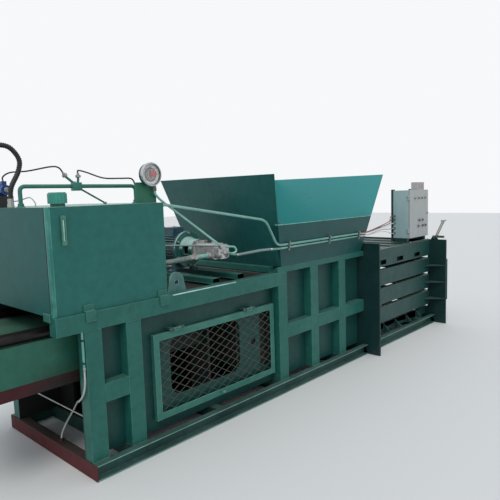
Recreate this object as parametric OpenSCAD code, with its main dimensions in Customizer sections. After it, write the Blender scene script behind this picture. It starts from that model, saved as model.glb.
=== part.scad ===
// Horizontal recycling baler.
// X runs along the machine from the cylinder end to the bale door, Y across it, Z up.
// Lengths are millimetres. Stations along X are counted from the rear face of the first post.

/* [Press chamber] */
// Inside width of the press chamber and of the bale tunnel
chamber_w = 936; // [800:2:1000]
// Inside height of the press chamber, floor to roof
chamber_h = 918; // [880:1:960]
// Thickness of the chamber side plates
side_t = 12; // [8:1:16]
// Thickness of the chamber floor plate
floor_t = 12; // [8:1:20]

/* [Side frame] */
// Height of the base rails
rail_h = 100; // [80:1:120]
// Width of the flanges of the base rails
rail_flange = 50; // [35:1:60]
// Thickness of the webs and flanges of the channels
section_t = 8; // [6:1:10]
// Width of an upright of the side frame
post_w = 115; // [90:1:130]
// Depth of the side frame outside the side plates
post_d = 80; // [60:1:100]
// Distance between the first two uprights, rear face to rear face
rear_bay = 290; // [260:1:320]
// Station of the third upright, where the press section starts
press_x = 1810; // [1780:1:1860]
// Distance between the uprights of the press section
bay_pitch = 460; // [440:1:480]
// Height of the upper edge of the rear top rail
top_rail_z = 1040; // [1036:1:1060]
// Height of the rear top rail itself
top_rail_h = 113; // [90:1:120]
// Overhang of the top rail behind the first upright
top_rail_out = 174; // [150:1:200]
// Height of the lower edge of the middle rails
mid_rail_z = 455; // [440:1:480]
// Height of the middle rails themselves
mid_rail_h = 120; // [100:1:130]
// Height of the upper edge of the frame under the hopper
press_top_z = 1085; // [1075:1:1100]

/* [Frame plates] */
// Thickness of the hoop plate and of the end plate
plate_t = 20; // [16:1:25]
// Overall width of the hoop plate and of the end plate
hoop_w = 1490; // [1440:2:1540]
// Height of the hoop plate
hoop_h = 1167; // [1150:1:1200]
// Height of the end plate
end_h = 1062; // [1056:1:1080]

/* [Bale tunnel] */
// Length of the tunnel between the hoop plate and the end plate
tunnel_len = 1640; // [1400:10:1800]
// Height of a tunnel side bar
bar_h = 175; // [160:1:180]
// Depth of a tunnel side bar
bar_d = 62; // [50:1:70]
// Height of the strapping slots between the side bars
slot_h = 35; // [25:1:40]
// Height of the panel under the lowest slot
low_panel_h = 83; // [70:1:100]
// Rise of the upper side bars over the chamber roof
roof_rise = 25; // [22:1:35]

/* [Guard door] */
// Width of the guard door
guard_w = 1255; // [1150:1:1270]
// Height of the guard door
guard_h = 603; // [560:1:610]
// Height of its lower edge over the base rail
guard_gap_z = 77; // [60:1:90]
// Gap between the guard door and the third upright
guard_gap_x = 33; // [25:1:40]
// Width of the angle that frames the guard door
guard_angle = 46; // [35:1:55]
// Spacing of the mesh openings along X
mesh_x = 104; // [80:1:120]
// Spacing of the mesh openings along Z
mesh_z = 63; // [50:1:75]
// Width of a strand of the mesh
strand = 4; // [2.5:0.1:5]
// Width of the window behind the guard door
window_w = 710; // [600:1:740]
// Height of the window behind the guard door
window_h = 430; // [380:1:450]

/* [Hopper] */
// Height of the hopper rim over the ground
rim_z = 1862; // [1800:1:1950]
// Height of the low loading edge over the ground
lip_z = 1452; // [1400:1:1500]
// Thickness of the hopper plates
hopper_t = 6; // [4:1:8]
// How far the rear hopper plate leans out at the rim
flare_rear = 249; // [200:1:260]
// How far the front hopper plate leans out at the rim
flare_front = 191; // [150:1:220]
// How far each side hopper plate leans out at the rim
flare_side = 155; // [120:1:170]

/* [Ram and cylinder] */
// Length of the ram body along X
ram_len = 460; // [400:1:480]
// Running gap between the ram and the chamber walls
ram_gap = 6; // [4:0.5:8]
// Travel of the ram
ram_stroke = 1400; // [1300:1:1400]
// Outside diameter of the cylinder barrel
barrel_d = 260; // [240:1:280]
// Diameter of the piston rod
rod_d = 150; // [120:1:160]
// Height of the cylinder axis over the ground
cyl_z = 740; // [720:1:745]
// Overhang of the rear beams behind the first upright
beam_out = 600; // [560:1:640]
// Height of the lower edge of the rear beams
beam_z = 588; // [580:1:600]
// Height of the rear beams themselves
beam_h = 300; // [290:1:305]

/* [Oil tank and power unit] */
// Length of the oil tank along X
tank_len = 825; // [760:1:850]
// Width of the oil tank
tank_w = 1076; // [1040:2:1090]
// Height of the oil tank
tank_h = 636; // [600:1:680]
// Thickness of the tank plates
tank_t = 5; // [4:1:6]
// Station of the rear motor rail
motor_rail_x = 1165; // [1140:1:1180]
// Distance between the two motor rails
motor_rail_pitch = 270; // [260:1:290]
// Diameter of the motor body over its fins
motor_d = 250; // [230:1:256]
// Height of the motor axis over the motor rails
shaft_h = 190; // [170:1:200]

/* [Control cabinet] */
// Width of the control cabinet
cab_w = 500; // [450:1:520]
// Depth of the control cabinet
cab_d = 215; // [180:1:240]
// Height of the control cabinet
cab_h = 575; // [520:1:620]
// Height of its underside over the upper side bars
cab_gap = 58; // [50:1:80]

/* [Bale door] */
// Thickness of the skin of the bale door
door_skin = 16; // [12:1:20]
// Depth of the ribs of the bale door
door_rib = 34; // [25:1:45]

/* [Fits] */
// Gap between a cover and what it closes on
seat_gap = 0.5; // [0.3:0.1:1]
// Radial clearance of pins and shafts
pin_gap = 0.06; // [0.03:0.01:0.09]

/* [Hidden] */
floor_z = rail_h + floor_t;
roof_z = floor_z + chamber_h;
half_in = chamber_w / 2;
plate_y = half_in + side_t;
face_y = plate_y + post_d;
rail_y = face_y + rail_flange;
bar_y = half_in + bar_d;
slot_pitch = bar_h + slot_h;
slot_z = [for (k = [0:3]) floor_z + low_panel_h + k * slot_pitch];
bar_top_z = roof_z + roof_rise;
hoop_x = press_x + 3 * bay_pitch;
tunnel_x = hoop_x + plate_t;
end_x = tunnel_x + tunnel_len;
door_x = end_x + plate_t;
post_x = [0, rear_bay, press_x, press_x + bay_pitch, press_x + 2 * bay_pitch];

beam_y = 300;
beam_t = 10;
cross_t = 30;
rear_x = -beam_out - cross_t;
barrel_r = barrel_d / 2;
bore_r = barrel_r - 22;
rod_r = rod_d / 2;
ram_x1 = press_x + 30;
ram_x0 = ram_x1 - ram_len;
gland_x = 1130;
rod_pad = 40;
piston_t = 80;
piston_x = -beam_out + 60;
tie_r = 35;
tie_y = beam_y + 70;
tie_z = beam_z + beam_h + 12 + tie_r;
tie_out = 48;
oil_port_x = -beam_out + 46;
gland_port_x = gland_x - 60;
door_hinge_z = [slot_z[0] + slot_pitch * 0.62, slot_z[3] - slot_pitch * 0.35];

tank_x0 = -top_rail_out;
tank_x1 = tank_x0 + tank_len;
tank_y = tank_w / 2;
tank_top = top_rail_z + tank_h;
motor_x = motor_rail_x + motor_rail_pitch / 2;
rail_tube_w = 75;
rail_tube_h = 40;
motor_z = top_rail_z + rail_tube_h + shaft_h;
flange_y = -5;
bell_r = 150;
bell_len = 145;
pump_y = flange_y - bell_len;
shaft_r = 19;
port_y = pump_y - 180;
port_z = motor_z - 30;
port_x = motor_x - 84;
hose_end_x = 1075;

neck_x = tank_x0 + 114;
neck_y = -tank_y + 78;
neck_r = 42;
neck_h = 45;
cap_r = 55;
cap_seat = 19;
cap_h = 65;
gauge_x = tank_x1 - 86;
gauge_y = -tank_y + 48;
gauge_r = 77.5;
gauge_z = tank_top + 186;
valve_x = tank_x0 + 66;
valve_y = 240;
valve_z = tank_top + 114;
return_x0 = tank_x0 + 54;
return_x1 = gauge_x + 30;
return_y = [-108, -308];
return_z = tank_top + 130;
tee_x = return_x0 + 332;
tee_y = return_y[0] + (return_y[1] - return_y[0]) * (tee_x - return_x0) / (return_x1 - return_x0);
arch_x = tank_x0 + 38;

hopper_x0 = press_x + 44;
hopper_x1 = hoop_x - 51;
rim_x0 = hopper_x0 - flare_rear;
rim_x1 = hopper_x1 + flare_front;
hopper_h = rim_z - press_top_z;
tail_len = ram_x0 + ram_stroke - hopper_x0 + 20;
cond_z = press_top_z + 195;
cond_x1 = hopper_x1 - 89;

guard_x1 = press_x - guard_gap_x;
guard_x0 = guard_x1 - guard_w;
guard_z0 = rail_h + guard_gap_z;
guard_z1 = guard_z0 + guard_h;
guard_y = face_y - 35;
guard_d = 30;
hinge_r = 11;
hinge_pin_r = 6;
hinge_y = guard_y + 10;
hinge_z = guard_z1 + hinge_r + 4;
guard_hinge_x = [guard_x0 + 138, guard_x1 - 372];
hinge_len = 120;
window_x0 = guard_x0 + 168;
window_z0 = guard_z0 + 118;
window_r = 88;

cab_x0 = end_x - cab_w - 1;
cab_x1 = cab_x0 + cab_w;
cab_z0 = bar_top_z + cab_gap;
cab_z1 = cab_z0 + cab_h;
cab_y0 = -bar_y + 20;
cab_y1 = cab_y0 + cab_d;
cab_t = 2;
cab_door_t = 22;
cab_hinge_z = [cab_z0 + 90, cab_z1 - 90];
cab_pin_x = cab_x0 - 8.5;
cab_pin_y = cab_y0 + cab_door_t / 2;
button_r = 12;
button_travel = 5;
button_at = [
    [cab_x0 + 245, cab_z0 + 207], [cab_x0 + 335, cab_z0 + 207],
    [cab_x0 + 220, cab_z0 + 137], [cab_x0 + 335, cab_z0 + 137], [cab_x0 + 415, cab_z0 + 137]
];
lead_y = cab_y1 - 16;
lead_z = [for (h = [267, 224, 181, 120, 58]) cab_z0 + h];

door_x0 = door_x + 3;
door_x1 = door_x0 + door_skin + door_rib;
door_half = half_in + 180;
door_z0 = rail_h + 20;
door_z1 = bar_top_z - 8;
door_pin_x = door_x0 + 22;
door_pin_y = hoop_w / 2 - 28;
door_pin_r = 15;
door_eye_r = 24;
lever_y = -half_in - 124;
lever_z = bar_top_z + 35;
lever_r = 10;
lever_lean = 25;
lever_len = 226;
lever_rod = 7;
lever_x0 = door_x + 10;
lever_x1 = door_x1 + 12;
lever_bar_end = lever_x1 + 40;

front_x = lever_bar_end;
back_x = rear_x - tie_out;
mid_x = (front_x + back_x) / 2;

green = [0.09, 0.36, 0.31];
dark_green = [0.07, 0.28, 0.24];
primer = [0.42, 0.14, 0.12];
steel = [0.45, 0.43, 0.41];
dark_steel = [0.20, 0.17, 0.16];
cabinet_white = [0.80, 0.80, 0.78];

// Sets a piece in the part's frame, whose origin is under the middle of the machine
module place() translate([-mid_x, 0, 0]) children();

// Block between two stations on each axis
module span(x, y, z)
    translate([x[0], y[0], z[0]]) cube([x[1] - x[0], y[1] - y[0], z[1] - z[0]]);

// The same shape on the far side of the machine
module far_side() mirror([0, 1, 0]) children();

// The same shape on both sides of the machine
module both_sides() {
    children();
    mirror([0, 1, 0]) children();
}

// Round bar between two points
module rod(a, b, r, sides = 32) {
    d = b - a;
    len = norm(d);
    translate(a) rotate([0, acos(d.z / len), atan2(d.y, d.x)])
        cylinder(h = len, r = r, $fn = sides);
}

// Rectangle with rounded corners, from its lower left corner
module round_rect(w, h, r) {
    translate([r, 0]) square([w - 2 * r, h]);
    translate([0, r]) square([w, h - 2 * r]);
    for (x = [r, w - r], y = [r, h - r]) translate([x, y]) circle(r = r, $fn = 32);
}

// Smooth curve through hand-set points
function curve_at(a, b, c, d, t) = 0.5 * (2 * b + (c - a) * t
    + (2 * a - 5 * b + 4 * c - d) * t * t + (3 * b - a - 3 * c + d) * t * t * t);
function curve(pts, n) = [
    for (i = [0:len(pts) - 2], j = [0:n - 1])
        curve_at(pts[max(i - 1, 0)], pts[i], pts[i + 1], pts[min(i + 2, len(pts) - 1)], j / n),
    pts[len(pts) - 1]
];
function unit(v) = v / norm(v);
function tangent(p, i) = unit(p[min(i + 1, len(p) - 1)] - p[max(i - 1, 0)]);
function side_of(t, v) = unit(v - t * (v * t));
function sides_along(p) = [
    for (i = 0, u = side_of(tangent(p, 0), [0.3, 1, 0.2]); i < len(p);
         i = i + 1, u = i < len(p) ? side_of(tangent(p, i), u) : u) u
];

// Flexible line swept along a smooth curve
module hose(pts, r, sides = 8, n = 3) tube(curve(pts, n), r, sides);

// Pipe through a list of corners, bent round each of them
module pipe_run(pts, r, sides = 12) tube(bends(pts, 2.5 * r), r, sides);
function bends(pts, b) = [
    pts[0],
    for (i = [1:1:len(pts) - 2])
        let (u = unit(pts[i - 1] - pts[i]), v = unit(pts[i + 1] - pts[i]))
            for (t = [0:0.25:1]) pts[i] + b * (1 - t) * (1 - t) * u + b * t * t * v,
    pts[len(pts) - 1]
];

// Round skin with flat ends round a list of points
module tube(p, r, sides) {
    us = sides_along(p);
    rings = [
        for (i = [0:len(p) - 1], k = [0:sides - 1])
            p[i] + r * (us[i] * cos(360 * k / sides)
                + cross(tangent(p, i), us[i]) * sin(360 * k / sides))
    ];
    skin = [
        for (i = [0:len(p) - 2], k = [0:sides - 1])
            let (m = (k + 1) % sides)
                [i * sides + k, (i + 1) * sides + k, (i + 1) * sides + m, i * sides + m]
    ];
    start_cap = [for (k = [0:sides - 1]) k];
    end_cap = [for (k = [0:sides - 1]) (len(p) - 1) * sides + sides - 1 - k];
    polyhedron(points = rings, faces = concat(skin, [start_cap, end_cap]), convexity = 6);
}

// Channel with its flanges towards -Y, its web at y0, running along X
module side_channel(x, y0, out, z, t)
    translate([x[0], 0, 0]) rotate([90, 0, 90]) linear_extrude(x[1] - x[0])
        polygon([
            [y0, z[0]], [y0, z[1]], [y0 - out, z[1]], [y0 - out, z[1] - t],
            [y0 - t, z[1] - t], [y0 - t, z[0] + t], [y0 - out, z[0] + t], [y0 - out, z[0]]
        ]);

// Base rails under the press and under the tunnel, with the channels across between them
module base_frame() place() color(green) {
    both_sides() side_channel([0, hoop_x], -face_y + section_t, rail_flange + section_t,
        [0, rail_h], section_t);
    both_sides() side_channel([tunnel_x, end_x], -face_y + section_t, rail_flange + section_t,
        [0, rail_h], section_t);
    for (x = [rear_bay, (rear_bay + press_x) / 2, press_x, post_x[4], tunnel_x + 240, end_x - 320])
        floor_beam(x, post_w * 0.6);
}

// Channel across the machine between the base rails
module floor_beam(x, w)
    difference() {
        span([x, x + w], [-face_y + section_t, face_y - section_t], [0, rail_h]);
        span([x + section_t, x + w + 1], [-face_y, face_y], [section_t, rail_h - section_t]);
    }

// Channel across the rear end, its flanges turned forwards, with a cable gland on top
module rear_end_beam() place() color(primer) {
    span([-section_t, 0], [-rail_y, rail_y], [0, rail_h]);
    for (z = [0, rail_h - section_t]) span([-1, 60], [-face_y + section_t, face_y - section_t],
        [z, z + section_t]);
    translate([30, -110, rail_h - 1]) cylinder(h = 19, r = 14, $fn = 6);
}

// Thin bar across the rear opening
module rear_bar() place() color([0.60, 0.62, 0.60])
    span([2, 8], [-half_in, half_in], [mid_rail_z - 80, mid_rail_z - 71]);

// Floor plate of the press, running through both end frames
module press_floor() place() color(dark_green)
    span([rear_bay, door_x], [-half_in, half_in], [rail_h, floor_z]);

// Uprights and rails of one side as rectangles of the side view, drawn in by d on each side
module lattice(d) {
    top_z = top_rail_z - top_rail_h;
    for (i = [0:1]) translate([post_x[i] + d, rail_h]) square([post_w - 2 * d, top_z - rail_h + d]);
    for (i = [2:4]) translate([post_x[i] + d, rail_h]) square([post_w - 2 * d, roof_z + 5 - rail_h]);
    translate([-top_rail_out + d, top_z + d])
        square([press_x + top_rail_out - 2 * d, top_rail_h - 2 * d]);
    translate([post_w - d, mid_rail_z + d])
        square([rear_bay - post_w + 2 * d, mid_rail_h - 2 * d]);
    translate([press_x + post_w - d, mid_rail_z + d])
        square([hoop_x - press_x - post_w + d, mid_rail_h - 2 * d]);
}

// Folded channels with their open side against the side plate
module side_frame()
    difference() {
        translate([0, -plate_y, 0]) rotate([90, 0, 0]) linear_extrude(post_d) lattice(0);
        translate([0, -plate_y + 1, 0]) rotate([90, 0, 0])
            linear_extrude(post_d + 1 - section_t) lattice(section_t);
    }

module side_frame_near() place() color(green) side_frame();
module side_frame_far() place() color(green) far_side() side_frame();

module side_plate() span([0, hoop_x], [-plate_y, -half_in], [rail_h, roof_z + 5]);

// Near plate with the window behind the guard door, the service slot and the sight hole
module side_plate_near() place() color(green)
    difference() {
        side_plate();
        translate([window_x0, 0, window_z0]) rotate([90, 0, 0])
            linear_extrude(plate_y + 1) round_rect(window_w, window_h, window_r);
        span([press_x - 170, press_x - 20], [-plate_y - 1, 0], [guard_z0 + 75, guard_z1 - 30]);
        translate([press_x - 247, 0, (guard_z0 + guard_z1) / 2 + 16]) rotate([90, 0, 0])
            cylinder(h = plate_y + 1, r = 32, $fn = 48);
    }
module side_plate_far() place() color(green) far_side() side_plate();

// Frame on top of the press section, with a sloping inner edge under the hopper
module press_top_frame() place() color(green) {
    z0 = roof_z + 5;
    both_sides() translate([press_x, 0, 0]) rotate([90, 0, 90])
        linear_extrude(hoop_x - press_x)
            polygon([
                [-face_y, z0], [-face_y, press_top_z], [-face_y + 12, press_top_z],
                [-half_in, z0 + 10], [-half_in, z0]
            ]);
    span([press_x, hopper_x0 + hopper_t], [-half_in, half_in], [z0, press_top_z]);
    span([hopper_x1 - hopper_t, hoop_x], [-half_in, half_in], [roof_z + 25, press_top_z]);
}

// Shear bar bolted under the front of the feed opening
module fixed_blade() place() color(steel)
    difference() {
        span([hopper_x1 - 16, hoop_x], [-half_in, half_in], [roof_z, roof_z + 25]);
        for (y = [-400:160:400]) translate([(hopper_x1 + hoop_x) / 2, y, roof_z - 1])
            cylinder(h = 14, r = 13, $fn = 32);
    }

// Plate frame round the chamber at the start of the tunnel
module frame_plate(x, h)
    difference() {
        span([x, x + plate_t], [-hoop_w / 2, hoop_w / 2], [0, h]);
        span([x - 1, x + plate_t + 1], [-half_in, half_in], [rail_h, roof_z]);
    }

// Flat gusset between a frame plate and the tunnel bars, at the given height
module gusset(x, run, reach, z)
    translate([x, -bar_y, z]) linear_extrude(10) polygon([[0, 0], [run, 0], [0, -reach]]);

module hoop_plate() place() color(dark_green) {
    frame_plate(hoop_x, hoop_h);
    both_sides() for (k = [0:2])
        gusset(tunnel_x, 230, hoop_w / 2 - bar_y - 12, slot_z[k] + slot_h + bar_h / 2 - 5);
}

module end_plate() place() color(dark_green) {
    difference() {
        union() {
            frame_plate(end_x, end_h);
            hull() {
                translate([end_x, lever_y - 45, end_h - 0.01]) cube([plate_t, 90, 1]);
                translate([end_x, lever_y - 18, lever_z + 14]) cube([plate_t, 36, 6]);
            }
        }
        for (k = [0:3]) span([end_x - 1, door_x + 1], [-half_in - 40, half_in + 40],
            [slot_z[k], slot_z[k] + slot_h]);
        translate([end_x - 1, lever_y, lever_z]) rotate([0, 90, 0])
            cylinder(h = plate_t + 2, r = lever_r + pin_gap, $fn = 64);
    }
    both_sides() for (k = [0:2])
        gusset(end_x, -150, hoop_w / 2 - bar_y - 12, slot_z[k] + slot_h + bar_h / 2 - 5);
    far_side() for (z = door_hinge_z) door_knuckle(z, -1);
    far_side() for (z = door_hinge_z) door_knuckle(z, 1);
    far_side() for (z = door_hinge_z) translate([door_pin_x, -door_pin_y, z - 75])
        cylinder(h = 150, r = door_pin_r, $fn = 64);
}

// Fixed hinge ear over or under the ear of the bale door
module door_knuckle(z, side)
    translate([0, 0, z + side * 52 - 18]) {
        translate([door_pin_x, -door_pin_y, 0]) cylinder(h = 36, r = door_eye_r, $fn = 64);
        translate([door_x - 0.5, -door_pin_y - door_eye_r, 0])
            cube([door_pin_x - door_x + 0.5, 2 * door_eye_r, 36]);
    }

// Box bars of one tunnel side, the upper bar with its three pockets, and the foot panel
module tunnel_bars() {
    for (k = [0:2]) box_bar(slot_z[k] + slot_h, bar_h);
    difference() {
        box_bar(slot_z[3] + slot_h, bar_top_z - slot_z[3] - slot_h);
        for (x = [0.27, 0.52, 0.79] * tunnel_len)
            span([tunnel_x + x - 80, tunnel_x + x + 80], [-bar_y - 1, -bar_y + section_t + 1],
                [slot_z[3] + slot_h + 22, slot_z[3] + slot_h + 72]);
    }
    span([tunnel_x, end_x], [-plate_y, -half_in], [rail_h, slot_z[0]]);
    for (k = [1:5]) translate([tunnel_x + k * tunnel_len / 6 + 5, -plate_y, rail_h])
        rotate([0, -90, 0]) linear_extrude(10)
            polygon([[0, 0], [low_panel_h + floor_t - 4, 0], [14, -post_d], [0, -post_d]]);
}

module box_bar(z, h)
    difference() {
        span([tunnel_x, end_x], [-bar_y, -half_in], [z, z + h]);
        span([tunnel_x - 1, end_x + 1], [-bar_y + section_t, -half_in - section_t],
            [z + section_t, z + h - section_t]);
    }

module tunnel_bars_near() place() color(green) tunnel_bars();
module tunnel_bars_far() place() color(green) far_side() tunnel_bars();

// Roof of the tunnel with its cross ribs
module tunnel_roof() place() color(green) {
    span([tunnel_x, end_x], [-half_in, half_in], [roof_z, roof_z + 12]);
    for (k = [1:5])
        span([tunnel_x + k * tunnel_len / 6 - 5, tunnel_x + k * tunnel_len / 6 + 5],
            [-half_in, half_in], [roof_z + 12, bar_top_z]);
}

// Pyramid frustum between the frame under the hopper and the rim, drawn in by d
module funnel(d, z0, z1) {
    function at(z) = (z - press_top_z) / hopper_h;
    function ring(z) = [
        [hopper_x0 - flare_rear * at(z) + d, -face_y - flare_side * at(z) + d, z],
        [hopper_x1 + flare_front * at(z) - d, -face_y - flare_side * at(z) + d, z],
        [hopper_x1 + flare_front * at(z) - d, face_y + flare_side * at(z) - d, z],
        [hopper_x0 - flare_rear * at(z) + d, face_y + flare_side * at(z) - d, z]
    ];
    polyhedron(points = concat(ring(z0), ring(z1)), faces = [
        [0, 1, 2, 3], [7, 6, 5, 4], [4, 5, 1, 0], [5, 6, 2, 1], [6, 7, 3, 2], [7, 4, 0, 3]
    ]);
}

// Welded feed hopper, its near side cut down to the loading edge
module hopper() place() color(green)
    difference() {
        funnel(0, press_top_z, rim_z);
        funnel(hopper_t, press_top_z - 1, rim_z + 1);
        intersection() {
            translate([0, -60, 0]) funnel(hopper_t, press_top_z - 1, rim_z + 1);
            translate([0, 0, 0]) rotate([90, 0, 0]) linear_extrude(900)
                polygon([
                    [rim_x0 - 50, lip_z + 116], [hopper_x0 - 47, lip_z],
                    [rim_x1 + 50, lip_z], [rim_x1 + 50, rim_z + 9], [rim_x0 - 50, rim_z + 9]
                ]);
        }
    }

// Channel beams that carry the cylinder, with their two cradle plates and the cover plate on top
module rear_beams() place() color(green) {
    difference() {
        union() {
            both_sides() side_beam();
            cradle(rear_bay + 40, tie_z + tie_r + 20);
            cradle(gland_x - 70, beam_z + beam_h + 40);
            span([-beam_out, rear_bay + 41], [-beam_y - 110, beam_y + 110],
                [beam_z + beam_h - 1, beam_z + beam_h + 6]);
        }
        translate([oil_port_x, 0, beam_z + beam_h - 2]) cylinder(h = 9, r = 50, $fn = 48);
        translate([rear_x, 0, cyl_z]) rotate([0, 90, 0])
            cylinder(h = 2200, r = barrel_r + 0.3, $fn = 96);
        both_sides() translate([rear_x, -tie_y, tie_z]) rotate([0, 90, 0])
            cylinder(h = 1300, r = tie_r + 0.3, $fn = 64);
    }
}

module side_beam()
    difference() {
        span([-beam_out, gland_x - 40], [-beam_y - 110, -beam_y - 30], [beam_z, beam_z + beam_h]);
        span([-beam_out - 1, gland_x], [-beam_y - 110 + beam_t, -beam_y],
            [beam_z + beam_t, beam_z + beam_h - beam_t]);
    }

module cradle(x, top)
    difference() {
        span([x, x + 20], [-half_in, half_in], [floor_z, top]);
        span([x - 1, x + 21], [-beam_y + 40, beam_y - 40], [floor_z - 1, beam_z - 60]);
        span([x - 1, x + 21], [-beam_y + 60, beam_y - 60], [cyl_z + 60, tie_z + 200]);
        both_sides() span([x - 1, x + 21], [-beam_y - 110 + beam_t, -beam_y - 30],
            [beam_z + beam_t, beam_z + beam_h - beam_t]);
    }

// Plate that ties the rear ends of the beams and takes the cylinder's thrust
module rear_cross_plate() place() color(green)
    difference() {
        span([rear_x, -beam_out], [-beam_y - 130, beam_y + 130], [beam_z - 20, tie_z + tie_r + 25]);
        both_sides() translate([rear_x - 1, -tie_y, tie_z]) rotate([0, 90, 0])
            cylinder(h = cross_t + 2, r = tie_r - 4.5, $fn = 64);
    }

// Bare steel tie bars with a nut behind the cross plate and one before the cradle
module tie_bars() place() color(dark_steel)
    both_sides() {
        translate([-beam_out, -tie_y, tie_z]) rotate([0, 90, 0])
            cylinder(h = beam_out + rear_bay + 90, r = tie_r, $fn = 64);
        translate([rear_x - tie_out, -tie_y, tie_z]) rotate([0, 90, 0])
            cylinder(h = cross_t + tie_out + 1, r = tie_r - 5, $fn = 64);
        translate([rear_x - 36, -tie_y, tie_z]) rotate([0, 90, 0])
            cylinder(h = 36, r = tie_r + 12, $fn = 6);
        translate([rear_bay + 60.3, -tie_y, tie_z]) rotate([0, 90, 0])
            cylinder(h = 30, r = tie_r + 12, $fn = 6);
    }

// Barrel with its rear cap, front gland and the two oil ports
module cylinder_barrel() place() color(dark_green)
    difference() {
        union() {
            translate([-beam_out, 0, cyl_z]) rotate([0, 90, 0])
                cylinder(h = gland_x + beam_out, r = barrel_r, $fn = 96);
            translate([gland_x - 30, 0, cyl_z]) rotate([0, 90, 0])
                cylinder(h = 55, r = barrel_r + 18, $fn = 96);
            for (x = [oil_port_x, gland_port_x]) translate([x, 0, cyl_z + barrel_r - 12])
                cylinder(h = 42, r = 28, $fn = 48);
        }
        translate([-beam_out + 32, 0, cyl_z]) rotate([0, 90, 0])
            cylinder(h = gland_x + beam_out - 82, r = bore_r, $fn = 96);
        translate([gland_x - 60, 0, cyl_z]) rotate([0, 90, 0])
            cylinder(h = 100, r = rod_r + pin_gap, $fn = 96);
    }

// Piston and rod in one, with the round foot that bolts to the ram
module piston_rod() place() color(steel) {
    translate([piston_x, 0, cyl_z]) rotate([0, 90, 0])
        cylinder(h = piston_t, r = bore_r - pin_gap, $fn = 96);
    translate([piston_x + piston_t - 1, 0, cyl_z]) rotate([0, 90, 0])
        cylinder(h = ram_x0 - rod_pad - piston_x - piston_t + 2, r = rod_r, $fn = 96);
    translate([ram_x0 - rod_pad, 0, cyl_z]) rotate([0, 90, 0])
        cylinder(h = rod_pad, r = rod_r + 40, $fn = 96);
}

// Press ram: a welded box with strap grooves across its face and a tail plate
module ram() place() color(dark_green) {
    y1 = half_in - ram_gap;
    z0 = floor_z + 1;
    z1 = roof_z - ram_gap;
    difference() {
        span([ram_x0, ram_x1], [-y1, y1], [z0, z1]);
        for (z = [0:2]) span([ram_x0 + 25, ram_x1 - 100], [-y1 + 20, y1 - 20],
            [z0 + 20 + z * (z1 - z0 - 20) / 3, z0 + (z + 1) * (z1 - z0 - 20) / 3]);
        for (z = slot_z) span([ram_x1 - 70, ram_x1 + 1], [-y1 - 1, y1 + 1], [z, z + slot_h]);
        span([ram_x1 - 60, ram_x1 + 1], [-y1 - 1, y1 + 1], [z1 - 30, z1 + 1]);
        for (y = [-1, 1]) span([ram_x0 - 1, ram_x0 + 26], [y * 300 - 90, y * 300 + 90],
            [z0 + 60, z0 + 220]);
    }
    span([ram_x0 - tail_len, ram_x0 + 1], [-y1, y1], [z1 - 12, z1]);
    both_sides() span([ram_x0 - tail_len, ram_x0 + 1], [-y1, -y1 + 12], [z1 - 70, z1 - 11]);
}

// Moving shear blade in the step of the ram's upper edge
module ram_blade() place() color(steel)
    difference() {
        span([ram_x1 - 60, ram_x1], [-half_in + ram_gap, half_in - ram_gap],
            [roof_z - ram_gap - 30, roof_z - 1]);
        for (y = [-400:160:400]) translate([ram_x1 - 30, y, roof_z - 14])
            cylinder(h = 14, r = 13, $fn = 32);
    }

// Lifting plates welded on the top rails in front of the tank
module lifting_lugs() place() color(green)
    both_sides() translate([tank_x1 + 15, -plate_y - 18, top_rail_z]) rotate([90, 0, 0])
        linear_extrude(20) difference() {
            union() {
                polygon([[0, 0], [170, 0], [148, 92], [22, 92]]);
                translate([85, 80]) circle(r = 66, $fn = 64);
            }
            translate([-40, -100]) square([250, 100]);
            translate([85, 72]) circle(r = 16, $fn = 48);
        }

// Two cross tubes that carry the motor
module motor_rails() place() color(green)
    for (x = [motor_rail_x, motor_rail_x + motor_rail_pitch]) difference() {
        span([x - rail_tube_w / 2, x + rail_tube_w / 2], [-plate_y, plate_y],
            [top_rail_z, top_rail_z + rail_tube_h]);
        span([x - rail_tube_w / 2 + 4, x + rail_tube_w / 2 - 4], [-plate_y - 1, plate_y + 1],
            [top_rail_z + 4, top_rail_z + rail_tube_h - 4]);
    }

// Closed sheet tank with its bottom flange strip and the filler neck
module oil_tank() place() color(green) {
    difference() {
        union() {
            span([tank_x0, tank_x1], [-tank_y, tank_y], [top_rail_z, tank_top]);
            translate([neck_x, neck_y, tank_top - 1]) cylinder(h = neck_h + 1, r = neck_r, $fn = 64);
        }
        span([tank_x0 + tank_t, tank_x1 - tank_t], [-tank_y + tank_t, tank_y - tank_t],
            [top_rail_z + tank_t, tank_top - tank_t]);
        translate([neck_x, neck_y, tank_top - 10]) cylinder(h = neck_h + 20, r = neck_r - 5, $fn = 64);
    }
    for (y = [-0.3, 0.3] * tank_w) span([tank_x0 + tank_t, tank_x1 - tank_t], [y - 3, y + 3],
        [top_rail_z + tank_t, top_rail_z + tank_t + 60]);
}

// Filler and breather cap with fluted sides
module filler_cap() place() color([0.14, 0.45, 0.33])
    translate([neck_x, neck_y, tank_top + cap_seat]) difference() {
        union() {
            cylinder(h = cap_h - 6, r = cap_r, $fn = 96);
            translate([0, 0, cap_h - 6]) cylinder(h = 6, r = cap_r - 6, $fn = 96);
        }
        translate([0, 0, -1]) cylinder(h = neck_h - cap_seat + 1 + seat_gap, r = neck_r + pin_gap,
            $fn = 96);
        for (a = [0:22.5:359]) rotate([0, 0, a]) translate([cap_r + 3, 0, -1])
            cylinder(h = cap_h - 12, r = 6, $fn = 24);
    }

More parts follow.
